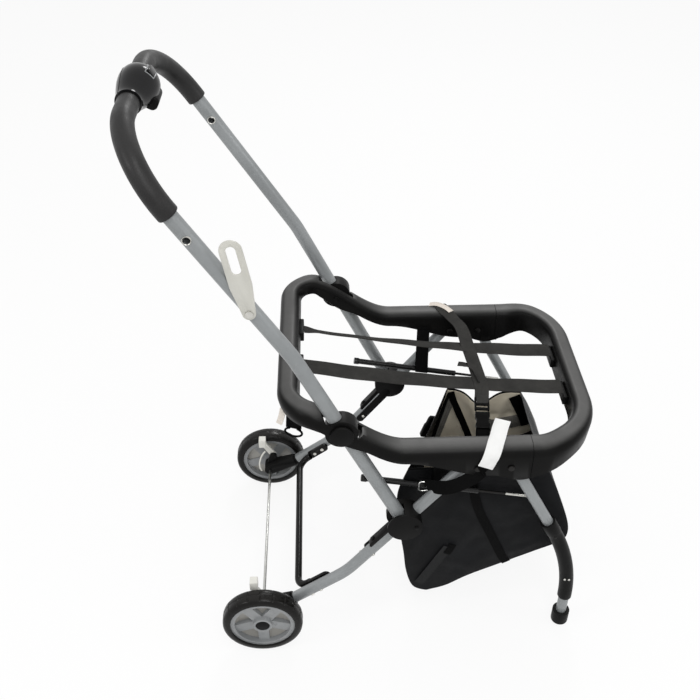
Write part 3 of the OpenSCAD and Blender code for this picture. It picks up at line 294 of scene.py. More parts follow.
# Smooth-shaded mesh with outward normals; flats are the points' flat measures, for a weave
def meshed(name, points, faces, flats=None, sharp=0.7, weld=False):
    mesh = bpy.data.meshes.new(name)
    mesh.from_pydata([tuple(p) for p in points], [], faces)
    if flats:
        layer = mesh.uv_layers.new(name="flat")
        for loop in mesh.loops:
            layer.data[loop.index].uv = flats[loop.vertex_index]
    shell = bmesh.new()
    shell.from_mesh(mesh)
    if weld:
        bmesh.ops.remove_doubles(shell, verts=shell.verts, dist=weldGap)
    bmesh.ops.recalc_face_normals(shell, faces=shell.faces)
    shell.to_mesh(mesh)
    shell.free()
    mesh.polygons.foreach_set("use_smooth", [True] * len(mesh.polygons))
    mesh.set_sharp_from_angle(angle=sharp)
    return mesh


# Faces of a grid whose rows all have the same number of points
def woundFaces(rows, columns, closedRows=False, closedColumns=False):
    faces = []
    for i in range(rows if closedRows else rows - 1):
        for j in range(columns if closedColumns else columns - 1):
            k, m = (i + 1) % rows, (j + 1) % columns
            faces.append((i * columns + j, k * columns + j, k * columns + m, i * columns + m))
    return faces


# Faces of a tube of closed rows, with a face at each end
def tubeFaces(rows, columns):
    last = (rows - 1) * columns
    ends = [tuple(range(columns - 1, -1, -1)), tuple(range(last, last + columns))]
    return woundFaces(rows, columns, closedColumns=True) + ends


# The piece's mesh as its modifiers leave it
def settled(mesh, *modifiers):
    holder = bpy.data.objects.new("holder", mesh)
    bpy.context.scene.collection.objects.link(holder)
    for kind, settings in modifiers:
        step = holder.modifiers.new(kind, kind)
        for key, value in settings.items():
            setattr(step, key, value)
    bpy.context.view_layer.update()
    result = bpy.data.meshes.new_from_object(holder.evaluated_get(bpy.context.evaluated_depsgraph_get()))
    bpy.data.objects.remove(holder)
    return result


# The mesh with every edge that is sharper than the angle rounded off
def softened(mesh, radius, steps, angle, sharp):
    mesh = settled(mesh, ("BEVEL", {"width": radius / 1000, "segments": steps, "limit_method": "ANGLE",
                                    "angle_limit": angle, "use_clamp_overlap": True}))
    mesh.set_sharp_from_angle(angle=sharp)
    return mesh


# A CAD node's own shape with its edges rounded, after moving its points where a shift is given
def rounded(node, finish, radius, steps=2, shift=None):
    sharp = math.radians(35)
    shell = bmesh.new()
    shell.from_mesh(cad[node].data)
    bmesh.ops.remove_doubles(shell, verts=shell.verts, dist=weldGap)
    bmesh.ops.dissolve_limit(shell, angle_limit=flatAngle, verts=shell.verts, edges=shell.edges)
    shell.verts.index_update()
    points = [v.co + shift(v.co) if shift else v.co.copy() for v in shell.verts]
    faces = [[v.index for v in f.verts] for f in shell.faces]
    shell.free()
    mesh = softened(meshed(node + "Shape", points, faces, sharp=sharp), radius, steps, sharp, sharp)
    return made(node + "Dressed", mesh, finish, bodyOf[node], slotOf[node], [node])


def smooth(t):
    c = min(max(t, 0.0), 1.0)
    return c * c * (3 - 2 * c)


# Even steps along a smooth curve through the points
def curved(points, count, fine=24):
    anchors = [Vector(p) for p in points]
    padded = [anchors[0], *anchors, anchors[-1]]
    dense = []
    for before, a, b, after in zip(padded, padded[1:], padded[2:], padded[3:]):
        for k in range(fine):
            t = k / fine
            dense.append(0.5 * (2 * a + (b - before) * t + (2 * before - 5 * a + 4 * b - after) * t * t
                                + (3 * a - before - 3 * b + after) * t ** 3))
    dense.append(anchors[-1])
    lengths = [0.0]
    for a, b in zip(dense, dense[1:]):
        lengths.append(lengths[-1] + (b - a).length)
    result, spot = [], 0
    for i in range(count):
        goal = lengths[-1] * i / (count - 1)
        while spot < len(lengths) - 2 and lengths[spot + 1] < goal:
            spot += 1
        span = lengths[spot + 1] - lengths[spot]
        result.append(dense[spot].lerp(dense[spot + 1], (goal - lengths[spot]) / span if span else 0))
    return result


# The same, through points in side-view millimetres
def route(points, count):
    return curved([at(*p) for p in points], count)


# Way that a path runs at each of its points
def runs(path):
    padded = [path[0], *path, path[-1]]
    return [after - before for before, after in zip(padded, padded[2:])]


# Round wire or tube along a path, its radius in millimetres
def wired(path, radius, sides=16):
    points, side = [], None
    for p, run in zip(path, runs(path)):
        run = run.normalized()
        if side is None:
            side = run.orthogonal().normalized()
        side = (side - run * side.dot(run)).normalized()
        up = run.cross(side)
        points += [p + radius / 1000 * (math.cos(a) * side + math.sin(a) * up)
                   for a in (2 * math.pi * k / sides for k in range(sides))]
    return meshed("wire", points, tubeFaces(len(path), sides))


# Flat strap along a path, its width and thickness in millimetres: across is its width direction at each
# point, and its flat measures go with it
def strapped(path, across, width, thick):
    half, t = width / 2000, thick / 2000
    outline = [(-half, -t * 0.4), (-half * 0.97, -t), (half * 0.97, -t), (half, -t * 0.4),
               (half, t * 0.4), (half * 0.97, t), (-half * 0.97, t), (-half, t * 0.4)]
    points, flats, length = [], [], 0.0
    for i, (p, run) in enumerate(zip(path, runs(path))):
        if i:
            length += (p - path[i - 1]).length
        run = run.normalized()
        side = across[i] if isinstance(across, list) else across
        side = (side - run * side.dot(run)).normalized()
        up = side.cross(run)
        points += [p + a * side + b * up for a, b in outline]
        flats += [(length, a) for a, b in outline]
    return meshed("strap", points, tubeFaces(len(path), len(outline)), flats, sharp=0.9)


# Width directions of a strap that faces one way along its path
def crosswise(path, facing):
    return [run.cross(facing).normalized() for run in runs(path)]


# Body turned about an axis, from a profile of radius and height in millimetres
def turned(profile, centre, axis, steps=32):
    up = Vector(axis).normalized()
    side = up.orthogonal().normalized()
    other = up.cross(side)
    points = []
    for k in range(steps):
        a = 2 * math.pi * k / steps
        out = math.cos(a) * side + math.sin(a) * other
        points += [centre + (out * r + up * h) / 1000 for r, h in profile]
    return meshed("turned", points, woundFaces(steps, len(profile), True, True), weld=True)


# Outline of a rectangle with round corners
def plate(length, width, corner, steps=5):
    outline = []
    for sx, sy, start in ((1, 1, 0), (-1, 1, 90), (-1, -1, 180), (1, -1, 270)):
        for k in range(steps + 1):
            a = math.radians(start + 90 * k / steps)
            outline.append((sx * (length / 2 - corner) + corner * math.cos(a),
                            sy * (width / 2 - corner) + corner * math.sin(a)))
    return outline


# Flat piece with rounded edges: an outline in the plane of two directions, in millimetres
def slabbed(outline, origin, along, across, thick, radius=0.8):
    along = along.normalized()
    across = (across - along * across.dot(along)).normalized()
    up = along.cross(across)
    points = [origin + (along * u + across * v + up * h) / 1000
              for h in (-thick / 2, thick / 2) for u, v in outline]
    n = len(outline)
    faces = [tuple(range(n - 1, -1, -1)), tuple(range(n, 2 * n))]
    faces += [(i, (i + 1) % n, n + (i + 1) % n, n + i) for i in range(n)]
    return softened(meshed("slab", points, faces), radius, 3, 0.7, 0.6)


def joined(name, *meshes):
    shell = bmesh.new()
    for mesh in meshes:
        shell.from_mesh(mesh)
    result = bpy.data.meshes.new(name)
    shell.to_mesh(result)
    shell.free()
    return result


# Domed rivet or screw head on a surface
def rivet(name, place, facing, radius, finish, body, slotName):
    profile = [(0, -1.2), (radius * 0.9, -1.2), (radius, 0.1), (radius * 0.92, radius * 0.28),
               (radius * 0.6, radius * 0.5), (radius * 0.25, radius * 0.58), (0, radius * 0.6)]
    return made(name, turned(profile, place, facing, 20), finish, body, slotName)


# Way that a slope of so many degrees runs, in the side view
def sloped(degrees):
    return Vector((math.cos(math.radians(degrees)), 0, math.sin(math.radians(degrees))))


# Seat ring: a pair of numbers is where a change along x starts and how far it takes
ring = {
    "rearX": 61, "frontX": 580, "halfWidth": 194, "height": 501, "rearRise": 82, "rearFall": (95, 165),
    "frontRise": 8, "frontClimb": (480, 60), "width": 45, "wall": 3, "lip": 0.8, "crown": 20,
    "innerCrown": 14, "rearLean": 14, "frontLean": 6, "slim": 9, "rearDepth": 27, "frontDepth": 58,
    "deepening": (260, 140), "bosses": ((453, 12), (153, 11)), "bossReach": 48, "endShallow": 13,
    "shallowing": (482, 60), "rearCorner": 59, "frontCornerLength": 93, "frontCornerWidth": 105,
    "splitX": 470, "seam": 0.45,
}


def eased(x, change):
    start, reach = change
    return smooth((x - start) / reach)


def crestZ(x):
    return (ring["height"] + ring["rearRise"] * (1 - eased(x, ring["rearFall"]))
            + ring["frontRise"] * eased(x, ring["frontClimb"]))


def railDepth(x):
    depth = ring["rearDepth"] + (ring["frontDepth"] - ring["rearDepth"]) * eased(x, ring["deepening"])
    for middle, extra in ring["bosses"]:
        depth += extra * smooth(1 - abs(x - middle) / ring["bossReach"])
    return depth - ring["endShallow"] * eased(x, ring["shallowing"])


def railSection(depth, slim=0.0, steps=8):
    half, wall, lip = ring["width"] / 2, ring["wall"], ring["lip"]
    r, q = ring["crown"] - slim * 0.3, ring["innerCrown"]
    quarter = [math.pi / 2 * k / steps for k in range(steps + 1)]
    skin = [(-half, -depth + lip)]
    skin += [(-half + q - q * math.cos(a), -q + q * math.sin(a)) for a in quarter]
    skin += [(half - r + r * math.sin(a), -r + r * math.cos(a)) for a in quarter]
    skin += [(half, -depth + lip)]
    r, q = r - wall, q - wall
    hollow = [(half - wall, -depth + lip)]
    hollow += [(half - wall - r + r * math.cos(a), -wall - r + r * math.sin(a)) for a in quarter]
    hollow += [(-half + wall + q - q * math.sin(a), -wall - q + q * math.cos(a)) for a in quarter]
    hollow += [(-half + wall, -depth + lip)]
    section = [(-half + lip, -depth), *skin, (half - lip, -depth), (half - wall + lip, -depth), *hollow,
               (-half + wall - lip, -depth)]
    return [(o - slim * (0.5 + o / (2 * half)), v) for o, v in section]


# The bars across the ends are slimmer than the rails and lean outwards, so that their inner faces turn up
def railMesh(path):
    points, count = [], len(railSection(ring["frontDepth"]))
    for x, y, outX, outY in path:
        crest, depth = crestZ(x), railDepth(x)
        rearward = smooth((ring["rearX"] + ring["rearCorner"] - x) / ring["rearCorner"])
        forward = smooth((x - ring["frontX"] + ring["frontCornerLength"]) / ring["frontCornerLength"])
        lean = math.radians(ring["rearLean"] * rearward + ring["frontLean"] * forward)
        for o, v in railSection(depth, ring["slim"] * (rearward + forward)):
            w = v + depth / 2
            o, v = (o * math.cos(lean) + w * math.sin(lean),
                    w * math.cos(lean) - o * math.sin(lean) - depth / 2)
            points.append(at(x + outX * o, y + outY * o, crest + v))
    faces = woundFaces(len(path), count, closedColumns=True)
    for base in (0, (len(path) - 1) * count):
        for i in range(count // 2):
            quad = (base + i, base + (i + 1) % count, base + count - 2 - i, base + count - 1 - i)
            if len(set(quad)) == 4:
                faces.append(quad)
    return meshed("rail", points, faces, sharp=0.8)


# Middle lines of the two halves, with the outward direction at each point
def ringPaths(straightSteps=56, rearSteps=16, frontSteps=20):
    y, corner = ring["halfWidth"], ring["rearCorner"]
    cornerX = ring["rearX"] + corner
    start, span = ring["splitX"] - ring["seam"], ring["splitX"] - cornerX - ring["seam"]
    rear = [(start - span * k / straightSteps, y, 0, 1) for k in range(straightSteps + 1)]
    for k in range(1, rearSteps + 1):
        a = math.pi / 2 * (1 + k / rearSteps)
        rear.append((cornerX + corner * math.cos(a), y - corner + corner * math.sin(a),
                     math.cos(a), math.sin(a)))
    length, width = ring["frontCornerLength"], ring["frontCornerWidth"]
    front = [(ring["splitX"] + ring["seam"], y, 0, 1)]
    for k in range(frontSteps + 1):
        a = math.pi / 2 * (1 - k / frontSteps)
        out = Vector((math.cos(a) / length, math.sin(a) / width)).normalized()
        front.append((ring["frontX"] - length + length * math.cos(a), y - width + width * math.sin(a),
                      out.x, out.y))
    for half in (rear, front):
        half += [(x, -v, outX, -outY) for x, v, outX, outY in reversed(half)]
    return rear, front


def prism(outline, y0, y1):
    points = [at(x, y, z) for y in (y0, y1) for x, z in outline]
    n = len(outline)
    faces = [tuple(range(n)), tuple(range(2 * n - 1, n - 1, -1))]
    faces += [(i, (i + 1) % n, n + (i + 1) % n, n + i) for i in range(n)]
    return meshed("prism", points, faces)


def carved(mesh, cutters):
    holders = []
    for cutter in cutters:
        holder = bpy.data.objects.new("cutter", cutter)
        bpy.context.scene.collection.objects.link(holder)
        holders.append(holder)
    cuts = [("BOOLEAN", {"operation": "DIFFERENCE", "object": h, "solver": "EXACT"}) for h in holders]
    result = settled(mesh, *cuts)
    for holder in holders:
        bpy.data.objects.remove(holder)
    result.polygons.foreach_set("use_smooth", [True] * len(result.polygons))
    result.set_sharp_from_angle(angle=0.8)
    return result


# Notch that the handle's tube swings in: round the pivot, then out along the tube's two end positions
handleNotch = {"pivot": (153, 541.73), "upright": 116, "folded": 6, "half": 13.0, "neck": 24, "reach": 110,
               "boss": 28, "mouth": 62, "inside": 185.5, "outside": 213.45}


def heading(degrees):
    return Vector((math.cos(math.radians(degrees)), math.sin(math.radians(degrees))))


def notchOutline():
    p, half = Vector(handleNotch["pivot"]), handleNotch["half"]
    neck, reach, mouth = [handleNotch[key] for key in ("neck", "reach", "mouth")]
    up, down = handleNotch["upright"], handleNotch["folded"]
    outline = [p + handleNotch["boss"] * heading(a) for a in range(up + mouth, 360 + down - mouth, 8)]
    outline += [p + half * heading(down - 90) + out * heading(down) for out in (neck, reach)]
    outline += [p + 1.5 * reach * heading(up + (down - up) * k) for k in (0.75, 0.5, 0.25)]
    outline += [p + half * heading(up + 90) + out * heading(up) for out in (reach, neck)]
    return outline


rearPath, frontPath = ringPaths()
cutters = [prism(notchOutline(), s * handleNotch["inside"], s * handleNotch["outside"]) for s in (-1, 1)]
made("ringRear", carved(railMesh(rearPath), cutters), "ring", "seat_ring", "ring_plastic", ["ring_rear"])
made("ringFront", railMesh(frontPath), "ring", "seat_ring", "ring_plastic", ["ring_front"])

# A sleeve inside each rail closes the seam between the two halves
seamSleeve = {"x": (464, 476), "narrow": 0.87, "low": 0.98, "drop": 2.8, "points": 20, "thick": 1.2}
seamCrest = crestZ(ring["splitX"])
seamEdge = [(o * seamSleeve["narrow"], v * seamSleeve["low"] - seamSleeve["drop"])
            for o, v in railSection(railDepth(ring["splitX"]))[1:seamSleeve["points"] + 1]]
for side, name in bothSides:
    points = [at(x, side * (ring["halfWidth"] + o), seamCrest + v)
              for x in seamSleeve["x"] for o, v in seamEdge]
    band = settled(meshed("seam", points, woundFaces(2, len(seamEdge))),
                   ("SOLIDIFY", {"thickness": seamSleeve["thick"] / 1000, "offset": 0.0}))
    made("seamSleeve_" + name, band, "black", "seat_ring", "ring_plastic")

# Floors inside the rails, under the notches
notchFloor = {"length": 50, "width": 35, "corner": 3, "x": 204, "z": 508, "fall": -0.45, "thick": 2}
for side, name in bothSides:
    outline = plate(notchFloor["length"], notchFloor["width"], notchFloor["corner"])
    floorPlate = slabbed(outline, at(notchFloor["x"], side * ring["halfWidth"], notchFloor["z"]),
                         Vector((1, 0, notchFloor["fall"])), Vector((0, 1, 0)), notchFloor["thick"])
    made("notchFloor_" + name, floorPlate, "ring", "seat_ring", "ring_plastic")
print("ring built")

# Release housing on the crossbar, from its middle line and the direction of its front face
housing = {"bar": (-140.161, 1036.66), "face": 32.5, "length": 104, "swell": 11.5, "end": 19.5, "shift": 9,
           "rows": 45, "sides": 56, "slot": (-13, 21, -1, 14), "slotRadius": 31, "slotLift": 0.1,
           "slotSteps": 12, "slotWire": 0.8, "seams": {"upper": 1.75, "lower": -2.45}, "seamLength": 102,
           "seamSteps": 40, "seamWire": 0.5}
faceOut = sloped(housing["face"])
faceUp = Vector((-faceOut.z, 0, faceOut.x))
barMiddle = at(housing["bar"][0], 0, housing["bar"][1])


def onHousing(y, angle, lift=0.0):
    full = (1 - (2 * y / housing["length"]) ** 2) ** 2
    radius = housing["end"] + housing["swell"] * full + lift
    forward = housing["shift"] * full + radius * math.cos(angle)
    return (barMiddle + (faceOut * forward + faceUp * radius * math.sin(angle)) / 1000
            + Vector((0, y / 1000, 0)))


# The slide's face goes in, the trigger turns and shrinks about the crossbar, and the mouths of the wheel
# brackets stop short of the CAD's, so that the legs' ends show
moves = {"slideFrom": 40.5, "slideIn": 2.6, "triggerTurn": -16, "triggerSize": 0.97, "mouthFrom": 15,
         "mouthCut": 20}
legLine = {"bend": (160.141, 172.143), "end": (63, 100), "low": 36.6, "high": 52.85, "y": 189, "radius": 10.5}
legRun = sloped(legLine["low"])


def slideIn(point):
    reach = (point - barMiddle).dot(faceOut)
    return faceOut * (-moves["slideIn"] / 1000) if reach > moves["slideFrom"] / 1000 else Vector()


def triggerDown(point):
    offset = point - barMiddle
    turn = math.radians(moves["triggerTurn"])
    return Vector((offset.x * math.cos(turn) - offset.z * math.sin(turn), offset.y,
                   offset.x * math.sin(turn) + offset.z * math.cos(turn))) * moves["triggerSize"] - offset


def mouthBack(point):
    reach = (point - at(legLine["end"][0], point.y * 1000, legLine["end"][1])).dot(legRun)
    return legRun * (-moves["mouthCut"] / 1000) if reach > moves["mouthFrom"] / 1000 else Vector()


# Hard parts that keep the CAD shape: finish, rounding of the edges in millimetres, its steps, and any shift;
# a name that isn't a node stands for a left and a right one
hardParts = {
    "handle_pins": ("black", 1.2), "leg_pins": ("dark", 0.9), "front_pins": ("dark", 0.9),
    "pivot_bushes": ("black", 0.4), "strap_clips": ("black", 1.8, 3), "basket_rods": ("dark", 0.6),
    "handle_tube": ("tube", 0.3), "handle_bow": ("tube", 0.3), "handle_collars": ("black", 3.5, 3),
    "fold_trigger": ("black", 5.0, 4, triggerDown), "thumb_slide": ("gloss", 2.0, 3, slideIn),
    "tube_plugs": ("black", 0.6), "lock_plunger": ("dark", 0.6), "latch_plate": ("latch", 0.7),
    "latch_rivet": ("steel", 0.6), "rear_leg": ("tube", 0.3), "hub": ("black", 2.2, 3),
    "cross_tube": ("blackPaint", 0.8), "frame_rivets": ("steel", 0.7),
    "wheel_bracket": ("black", 2.0, 3, mouthBack), "axle": ("axle", 0.5), "brake_lever": ("pale", 1.4, 3),
    "rim": ("rim", 2.0, 3), "hub_cap": ("black", 1.4, 3), "front_tube": ("tube", 0.3),
    "front_sleeve": ("black", 1.6, 3), "front_post": ("tube", 0.4), "front_foot": ("black", 9.0, 5),
    "grip": ("foam", 4.0, 4),
}
dressed = {}
for part, row in hardParts.items():
    for node in [part] if part in cad else [part + "_" + name for side, name in bothSides]:
        dressed[node] = rounded(node, *row)

# The rivets on the hubs and their arms, above this height in metres, are black; the cross tube's stay bright
hubsFrom = 0.2
rivetMesh = dressed["frame_rivets"].data
rivetMesh.materials.append(finishes["black"])
for face in rivetMesh.polygons:
    face.material_index = 1 if face.center.z > hubsFrom else 0

rows, sides = housing["rows"], housing["sides"]
points = [onHousing(housing["length"] * (i / (rows - 1) - 0.5), 2 * math.pi * k / sides)
          for i in range(rows) for k in range(sides)]
made("releaseHousing", meshed("housing", points, tubeFaces(rows, sides)), "gloss", "handle", "gloss_black",
     ["release_housing"])
low, high, under, over = housing["slot"]
corners = [(low, under), (high, under), (high, over), (low, over), (low, under)]
slotPath, steps = [], housing["slotSteps"]
for (y0, v0), (y1, v1) in zip(corners, corners[1:]):
    for k in range(steps):
        y, v = y0 + (y1 - y0) * k / steps, v0 + (v1 - v0) * k / steps
        slotPath.append(onHousing(y, math.asin(v / housing["slotRadius"]), housing["slotLift"]))
made("slideSlot", wired(slotPath + slotPath[:1], housing["slotWire"], 8), "rim", "handle", "gloss_black")
length, steps = housing["seamLength"], housing["seamSteps"]
for name, angle in housing["seams"].items():
    seam = [onHousing(-length / 2 + length * k / steps, angle) for k in range(steps + 1)]
    made("housingSeam_" + name, wired(seam, housing["seamWire"], 6), "black", "handle", "gloss_black")
print("hard parts rounded")

# Eyelets round the tray holes
tray = {"x": -56.343, "z": 905.093, "y": 199.5, "half": 12, "inner": 5.6, "outer": 7.0}
eyelet = [(tray["inner"], -2.6), (tray["outer"], -2.6), (tray["outer"], 0.3), (6.7, 0.8), (6.0, 0.8),
          (tray["inner"], 0.4)]
for side, name in bothSides:
    for inward, face in ((1, "inner"), (-1, "outer")):
        place = at(tray["x"], side * (tray["y"] - tray["half"] * inward), tray["z"])
        made("trayEyelet_" + name + "_" + face, turned(eyelet, place, Vector((0, -side * inward, 0))),
             "steel", "handle", "steel")

# Arms of the hubs down the inner faces of the rear legs
hubArm = {"length": 104, "width": 16, "corner": 6, "x": 229, "y": 176.2, "z": 263, "thick": 4.4,
          "edge": 1.2, "rivet": (208, 174, 235)}
armOutline = plate(hubArm["length"], hubArm["width"], hubArm["corner"])
armRun = sloped(legLine["high"])
for side, name in bothSides:
    arm = slabbed(armOutline, at(hubArm["x"], side * hubArm["y"], hubArm["z"]), armRun,
                  Vector((-armRun.z, 0, armRun.x)), hubArm["thick"], hubArm["edge"])
    made("hubArm_" + name, arm, "black", "rear_frame", "black_plastic")


def onLeg(x, side, tilt):
    slope = math.radians(legLine["low"] if x < legLine["bend"][0] else legLine["high"])
    z = legLine["bend"][1] + (x - legLine["bend"][0]) * math.tan(slope)
    out = Vector((-math.sin(slope) * math.sin(tilt), side * math.cos(tilt), math.cos(slope) * math.sin(tilt)))
    return at(x, side * legLine["y"], z) + out * legLine["radius"] / 1000, out


# Rivets of the legs and the arms: where along x, and how far up round the leg from its outer side
rivetSize = 3.4
legRivets = {"low": (92, -0.75), "lowUpper": (108, -0.75), "high": (204, -0.8),
             "armLow": (191, math.pi - 0.45)}
for spot, (x, tilt) in legRivets.items():
    for side, name in bothSides:
        place, facing = onLeg(x, side, tilt)
        rivet("legRivet_" + spot + "_" + name, place, facing, rivetSize, "steel", "rear_frame", "steel")
x, y, z = hubArm["rivet"]
for side, name in bothSides:
    rivet("armRivet_" + name, at(x, side * y, z), Vector((0, -side, 0)), rivetSize, "steel", "rear_frame",
          "steel")

# Push buttons and screws of the front sleeves: x, z, radius and finish
frontLeg = {"y": 185.5, "half": 13.6}
sleeveHeads = {"buttonRear": (575, 141, 2.4, "steel"), "buttonFront": (583, 140, 2.4, "steel"),
               "screw": (541, 262, 2.6, "dark")}
for side, name in bothSides:
    for head, (x, z, size, finish) in sleeveHeads.items():
        for outside, face in ((1, "outer"), (-1, "inner")):
            place = at(x, side * (frontLeg["y"] + outside * frontLeg["half"]), z)
            rivet("sleeve_" + head + "_" + face + "_" + name, place, Vector((0, side * outside, 0)), size,
                  finish, "front_leg_" + name, "steel")
print("rivets set")

# Tyres with cross grooves in the tread, and the panels that close the rims between the spokes
tyre = {"axleZ": 76, "inside": 205.5, "width": 33, "outer": 76, "seat": 61.05, "grooves": 20, "groove": 1.0}
grooveSteps = ((0.0, 1), (0.07, 1), (0.11, 0), (0.34, 0), (0.58, 0), (0.82, 0), (0.96, 0))
rimPanel = {"y": 222, "dish": [(13, -3.0), (30, -4.6), (47, -3.4), (55, 0.6), (58, 1.0), (58, 2.6), (54, 2.4),
                               (46, -1.4), (30, -2.6), (13, -1.0)]}


# The profile's rows are a radius, a place across the tyre, and how much of the grooves' depth is cut there
def tyreMesh(side):
    half, seat, outer = tyre["width"] / 2, tyre["seat"], tyre["outer"]
    middle = tyre["inside"] + half
    edge = [(seat, -half + 1.5, 0), (seat + 1.5, -half, 0), (outer - 9, -half, 0),
            (outer - 5.5, -half + 1.0, 0), (outer - 2.6, -half + 2.8, 0.4), (outer - 0.8, -half + 5.6, 1),
            (outer, -half + 9.5, 1), (outer, -2.2, 1), (outer - 0.6, -1.4, 0.3)]
    profile = edge + [(r, -y, tread) for r, y, tread in reversed(edge)]
    pitch = 2 * math.pi / tyre["grooves"]
    stations = [((k + share) * pitch, cut) for k in range(tyre["grooves"]) for share, cut in grooveSteps]
    points = []
    for angle, cut in stations:
        for r, y, tread in profile:
            radius = r - cut * tread * tyre["groove"]
            points.append(at(radius * math.cos(angle), side * (middle + y),
                             tyre["axleZ"] + radius * math.sin(angle)))
    return meshed("tyre", points, woundFaces(len(stations), len(profile), True, True), sharp=0.6)


for side, name in bothSides:
    made("tyre_" + name + "_tread", tyreMesh(side), "tyre", "wheel_" + name, "tyre", ["tyre_" + name])
    place = at(0, side * rimPanel["y"], tyre["axleZ"])
    made("rimPanel_" + name, turned(rimPanel["dish"], place, Vector((0, side, 0)), 48), "panel",
         "wheel_" + name, "rim_plastic")
springPath = route([(-9, 190, 122), (-15, 187, 116), (-20, 186, 104), (-23, 186, 90), (-23, 186, 78),
                    (-20, 187, 66)], 30)
made("brakeSpring", wired(springPath, 1.9, 12), "pale", "rear_frame", "pale_plastic")
print("wheels built")


def webbing(name, path, across, width, thick=1.6, finish="webbing", replaced=()):
    return made(name, strapped(path, across, width, thick), finish, "seat_ring", "webbing", replaced)


# Seat straps: the right one lies flat, and the left one leans over towards the rear
seatStrap = {"rear": (91.5, 558), "front": (549.5, 497.5), "sag": 10, "y": 53, "width": 36, "thick": 1.7,
             "steps": 72, "ripple": 0.5, "sway": 0.04, "turn": (0.30, 0.21), "turning": (92, 26),
             "flattening": ((0.30, (190, 120)), (0.70, (300, 190)))}
strapSpan = seatStrap["front"][0] - seatStrap["rear"][0]


def strapHeight(x):
    t = (x - seatStrap["rear"][0]) / strapSpan
    return (seatStrap["rear"][1] + (seatStrap["front"][1] - seatStrap["rear"][1]) * t
            - 4 * seatStrap["sag"] * t * (1 - t))


def strapTurn(x):
    first, more = seatStrap["turn"]
    left = 1.0
    for share, change in seatStrap["flattening"]:
        left -= share * eased(x, change)
    return -(first + more * eased(x, seatStrap["turning"])) * left


for side, name in bothSides:
    path, across = [], []
    for k in range(seatStrap["steps"] + 1):
        x = seatStrap["rear"][0] + strapSpan * k / seatStrap["steps"]
        z = strapHeight(x) + seatStrap["ripple"] * math.sin(k * 0.46 + side)
        path.append(at(x, side * seatStrap["y"], z))
        turn = strapTurn(x) if side > 0 else seatStrap["sway"] * math.sin(k * 0.11)
        across.append(Vector((0, math.cos(turn), math.sin(turn))))
    webbing("seatStrap_" + name, path, across, seatStrap["width"], seatStrap["thick"],
            replaced=["seat_strap_" + name])

# Safety strap: over the left rail, across both seat straps and into the buckle
safety = {"width": 25, "gap": 1.7, "drop": 12, "innerY": 186, "outerX": 356, "slant": 0.28, "outerY": 220}
strapFacing = Vector((0, -0.79, 0.61))


def railWrap():
    radius = ring["crown"] + safety["gap"]
    edge, low = ring["halfWidth"] + ring["width"] / 2 - ring["crown"], ring["height"] - ring["crown"]
    arc = [math.pi / 2 * k / 8 for k in range(9)]
    return [(edge + radius, low - safety["drop"]),
            *((edge + radius * math.cos(a), low + radius * math.sin(a)) for a in arc),
            (safety["innerY"], ring["height"] + safety["gap"])]


overRail = [(safety["outerX"] + safety["slant"] * (safety["outerY"] - y), y, z) for y, z in railWrap()]
farPath = route(overRail + [(374, 174, 500.5), (382, 156, 500), (390, 130, 504.5), (393, 104, 508.5),
                            (394, 80, 510.3), (395, 53, 511.6), (398, 20, 511), (401, -20, 511),
                            (403, -53, 511.2), (403, -72, 509.6), (400, -92, 506.6)], 110)
webbing("safetyStrap", farPath, Vector((1, 0.10, 0)), safety["width"], replaced=["safety_strap"])
tagPath = route([(340, 206, 501.5), (350, 203, 504.6), (361, 198, 504.9), (372, 188, 504.4),
                 (380, 178, 502.5)], 30)
webbing("paleTag", tagPath, Vector((0.35, 1, 0)), 13, 0.8, "tag")
curlPath = route([(404, -54, 507.6), (400, -34, 508), (396, -16, 508.6), (390, -4, 509), (381, 2, 509),
                  (371, 5, 508.4)], 40)
webbing("strapCurl", curlPath, Vector((0, 0.95, -0.30)), 20)

# Buckle, sloping down inside the right rail: ladder lock, tongue and socket
buckle = {"top": (400, -92, 506.8), "low": (394, -156, 492), "socketAt": 0.72, "socketThick": 9.5,
          "socketEdge": 2.2, "barsAt": (1, 12, 22), "bar": (4.6, 25, 1.5), "barThick": 5.4,
          "railsAt": 12, "railsOut": 11.2, "rail": (27, 3.4, 1.2), "railThick": 6.2, "edge": 1.2}
waist = [(-17, -12.5), (-6, -12.5), (-4, -10.5), (5, -10.5), (8, -12.5), (17, -11)]
waist += [(u, -v) for u, v in reversed(waist)]
buckleTop, buckleLow = at(*buckle["top"]), at(*buckle["low"])
buckleRun, buckleSide = (buckleLow - buckleTop).normalized(), Vector((1, -0.1, 0))
socket = slabbed(waist, buckleTop.lerp(buckleLow, buckle["socketAt"]), buckleRun, buckleSide,
                 buckle["socketThick"], buckle["socketEdge"])
made("buckleSocket", socket, "buckle", "seat_ring", "black_plastic", ["buckle_socket"])
tongue = [slabbed(plate(*buckle["bar"]), buckleTop + buckleRun * (d / 1000), buckleRun, buckleSide,
                  buckle["barThick"], buckle["edge"]) for d in buckle["barsAt"]]
for s in (-1, 1):
    place = (buckleTop + buckleRun * (buckle["railsAt"] / 1000)
             + buckleSide.normalized() * (s * (buckle["railsOut"] / 1000)))
    tongue.append(slabbed(plate(*buckle["rail"]), place, buckleRun, buckleSide, buckle["railThick"],
                          buckle["edge"]))
made("buckleTongue", joined("tongue", *tongue), "buckle", "seat_ring", "black_plastic", ["buckle_tongue"])
loopPath = route([(402, -84, 508.3), (401, -90, 509.6), (400.5, -98, 508.4), (400, -104, 505.4),
                  (400.4, -98, 503)], 24)
webbing("buckleLoop", loopPath, buckleSide, 21)
underPath = route([(395, -150, 493.2), (393.5, -160, 489), (393, -166, 482), (393, -169.6, 470),
                   (393, -170.4, 458)], 24)
webbing("buckleAnchor", underPath, buckleSide, 24, finish="blackWebbing")

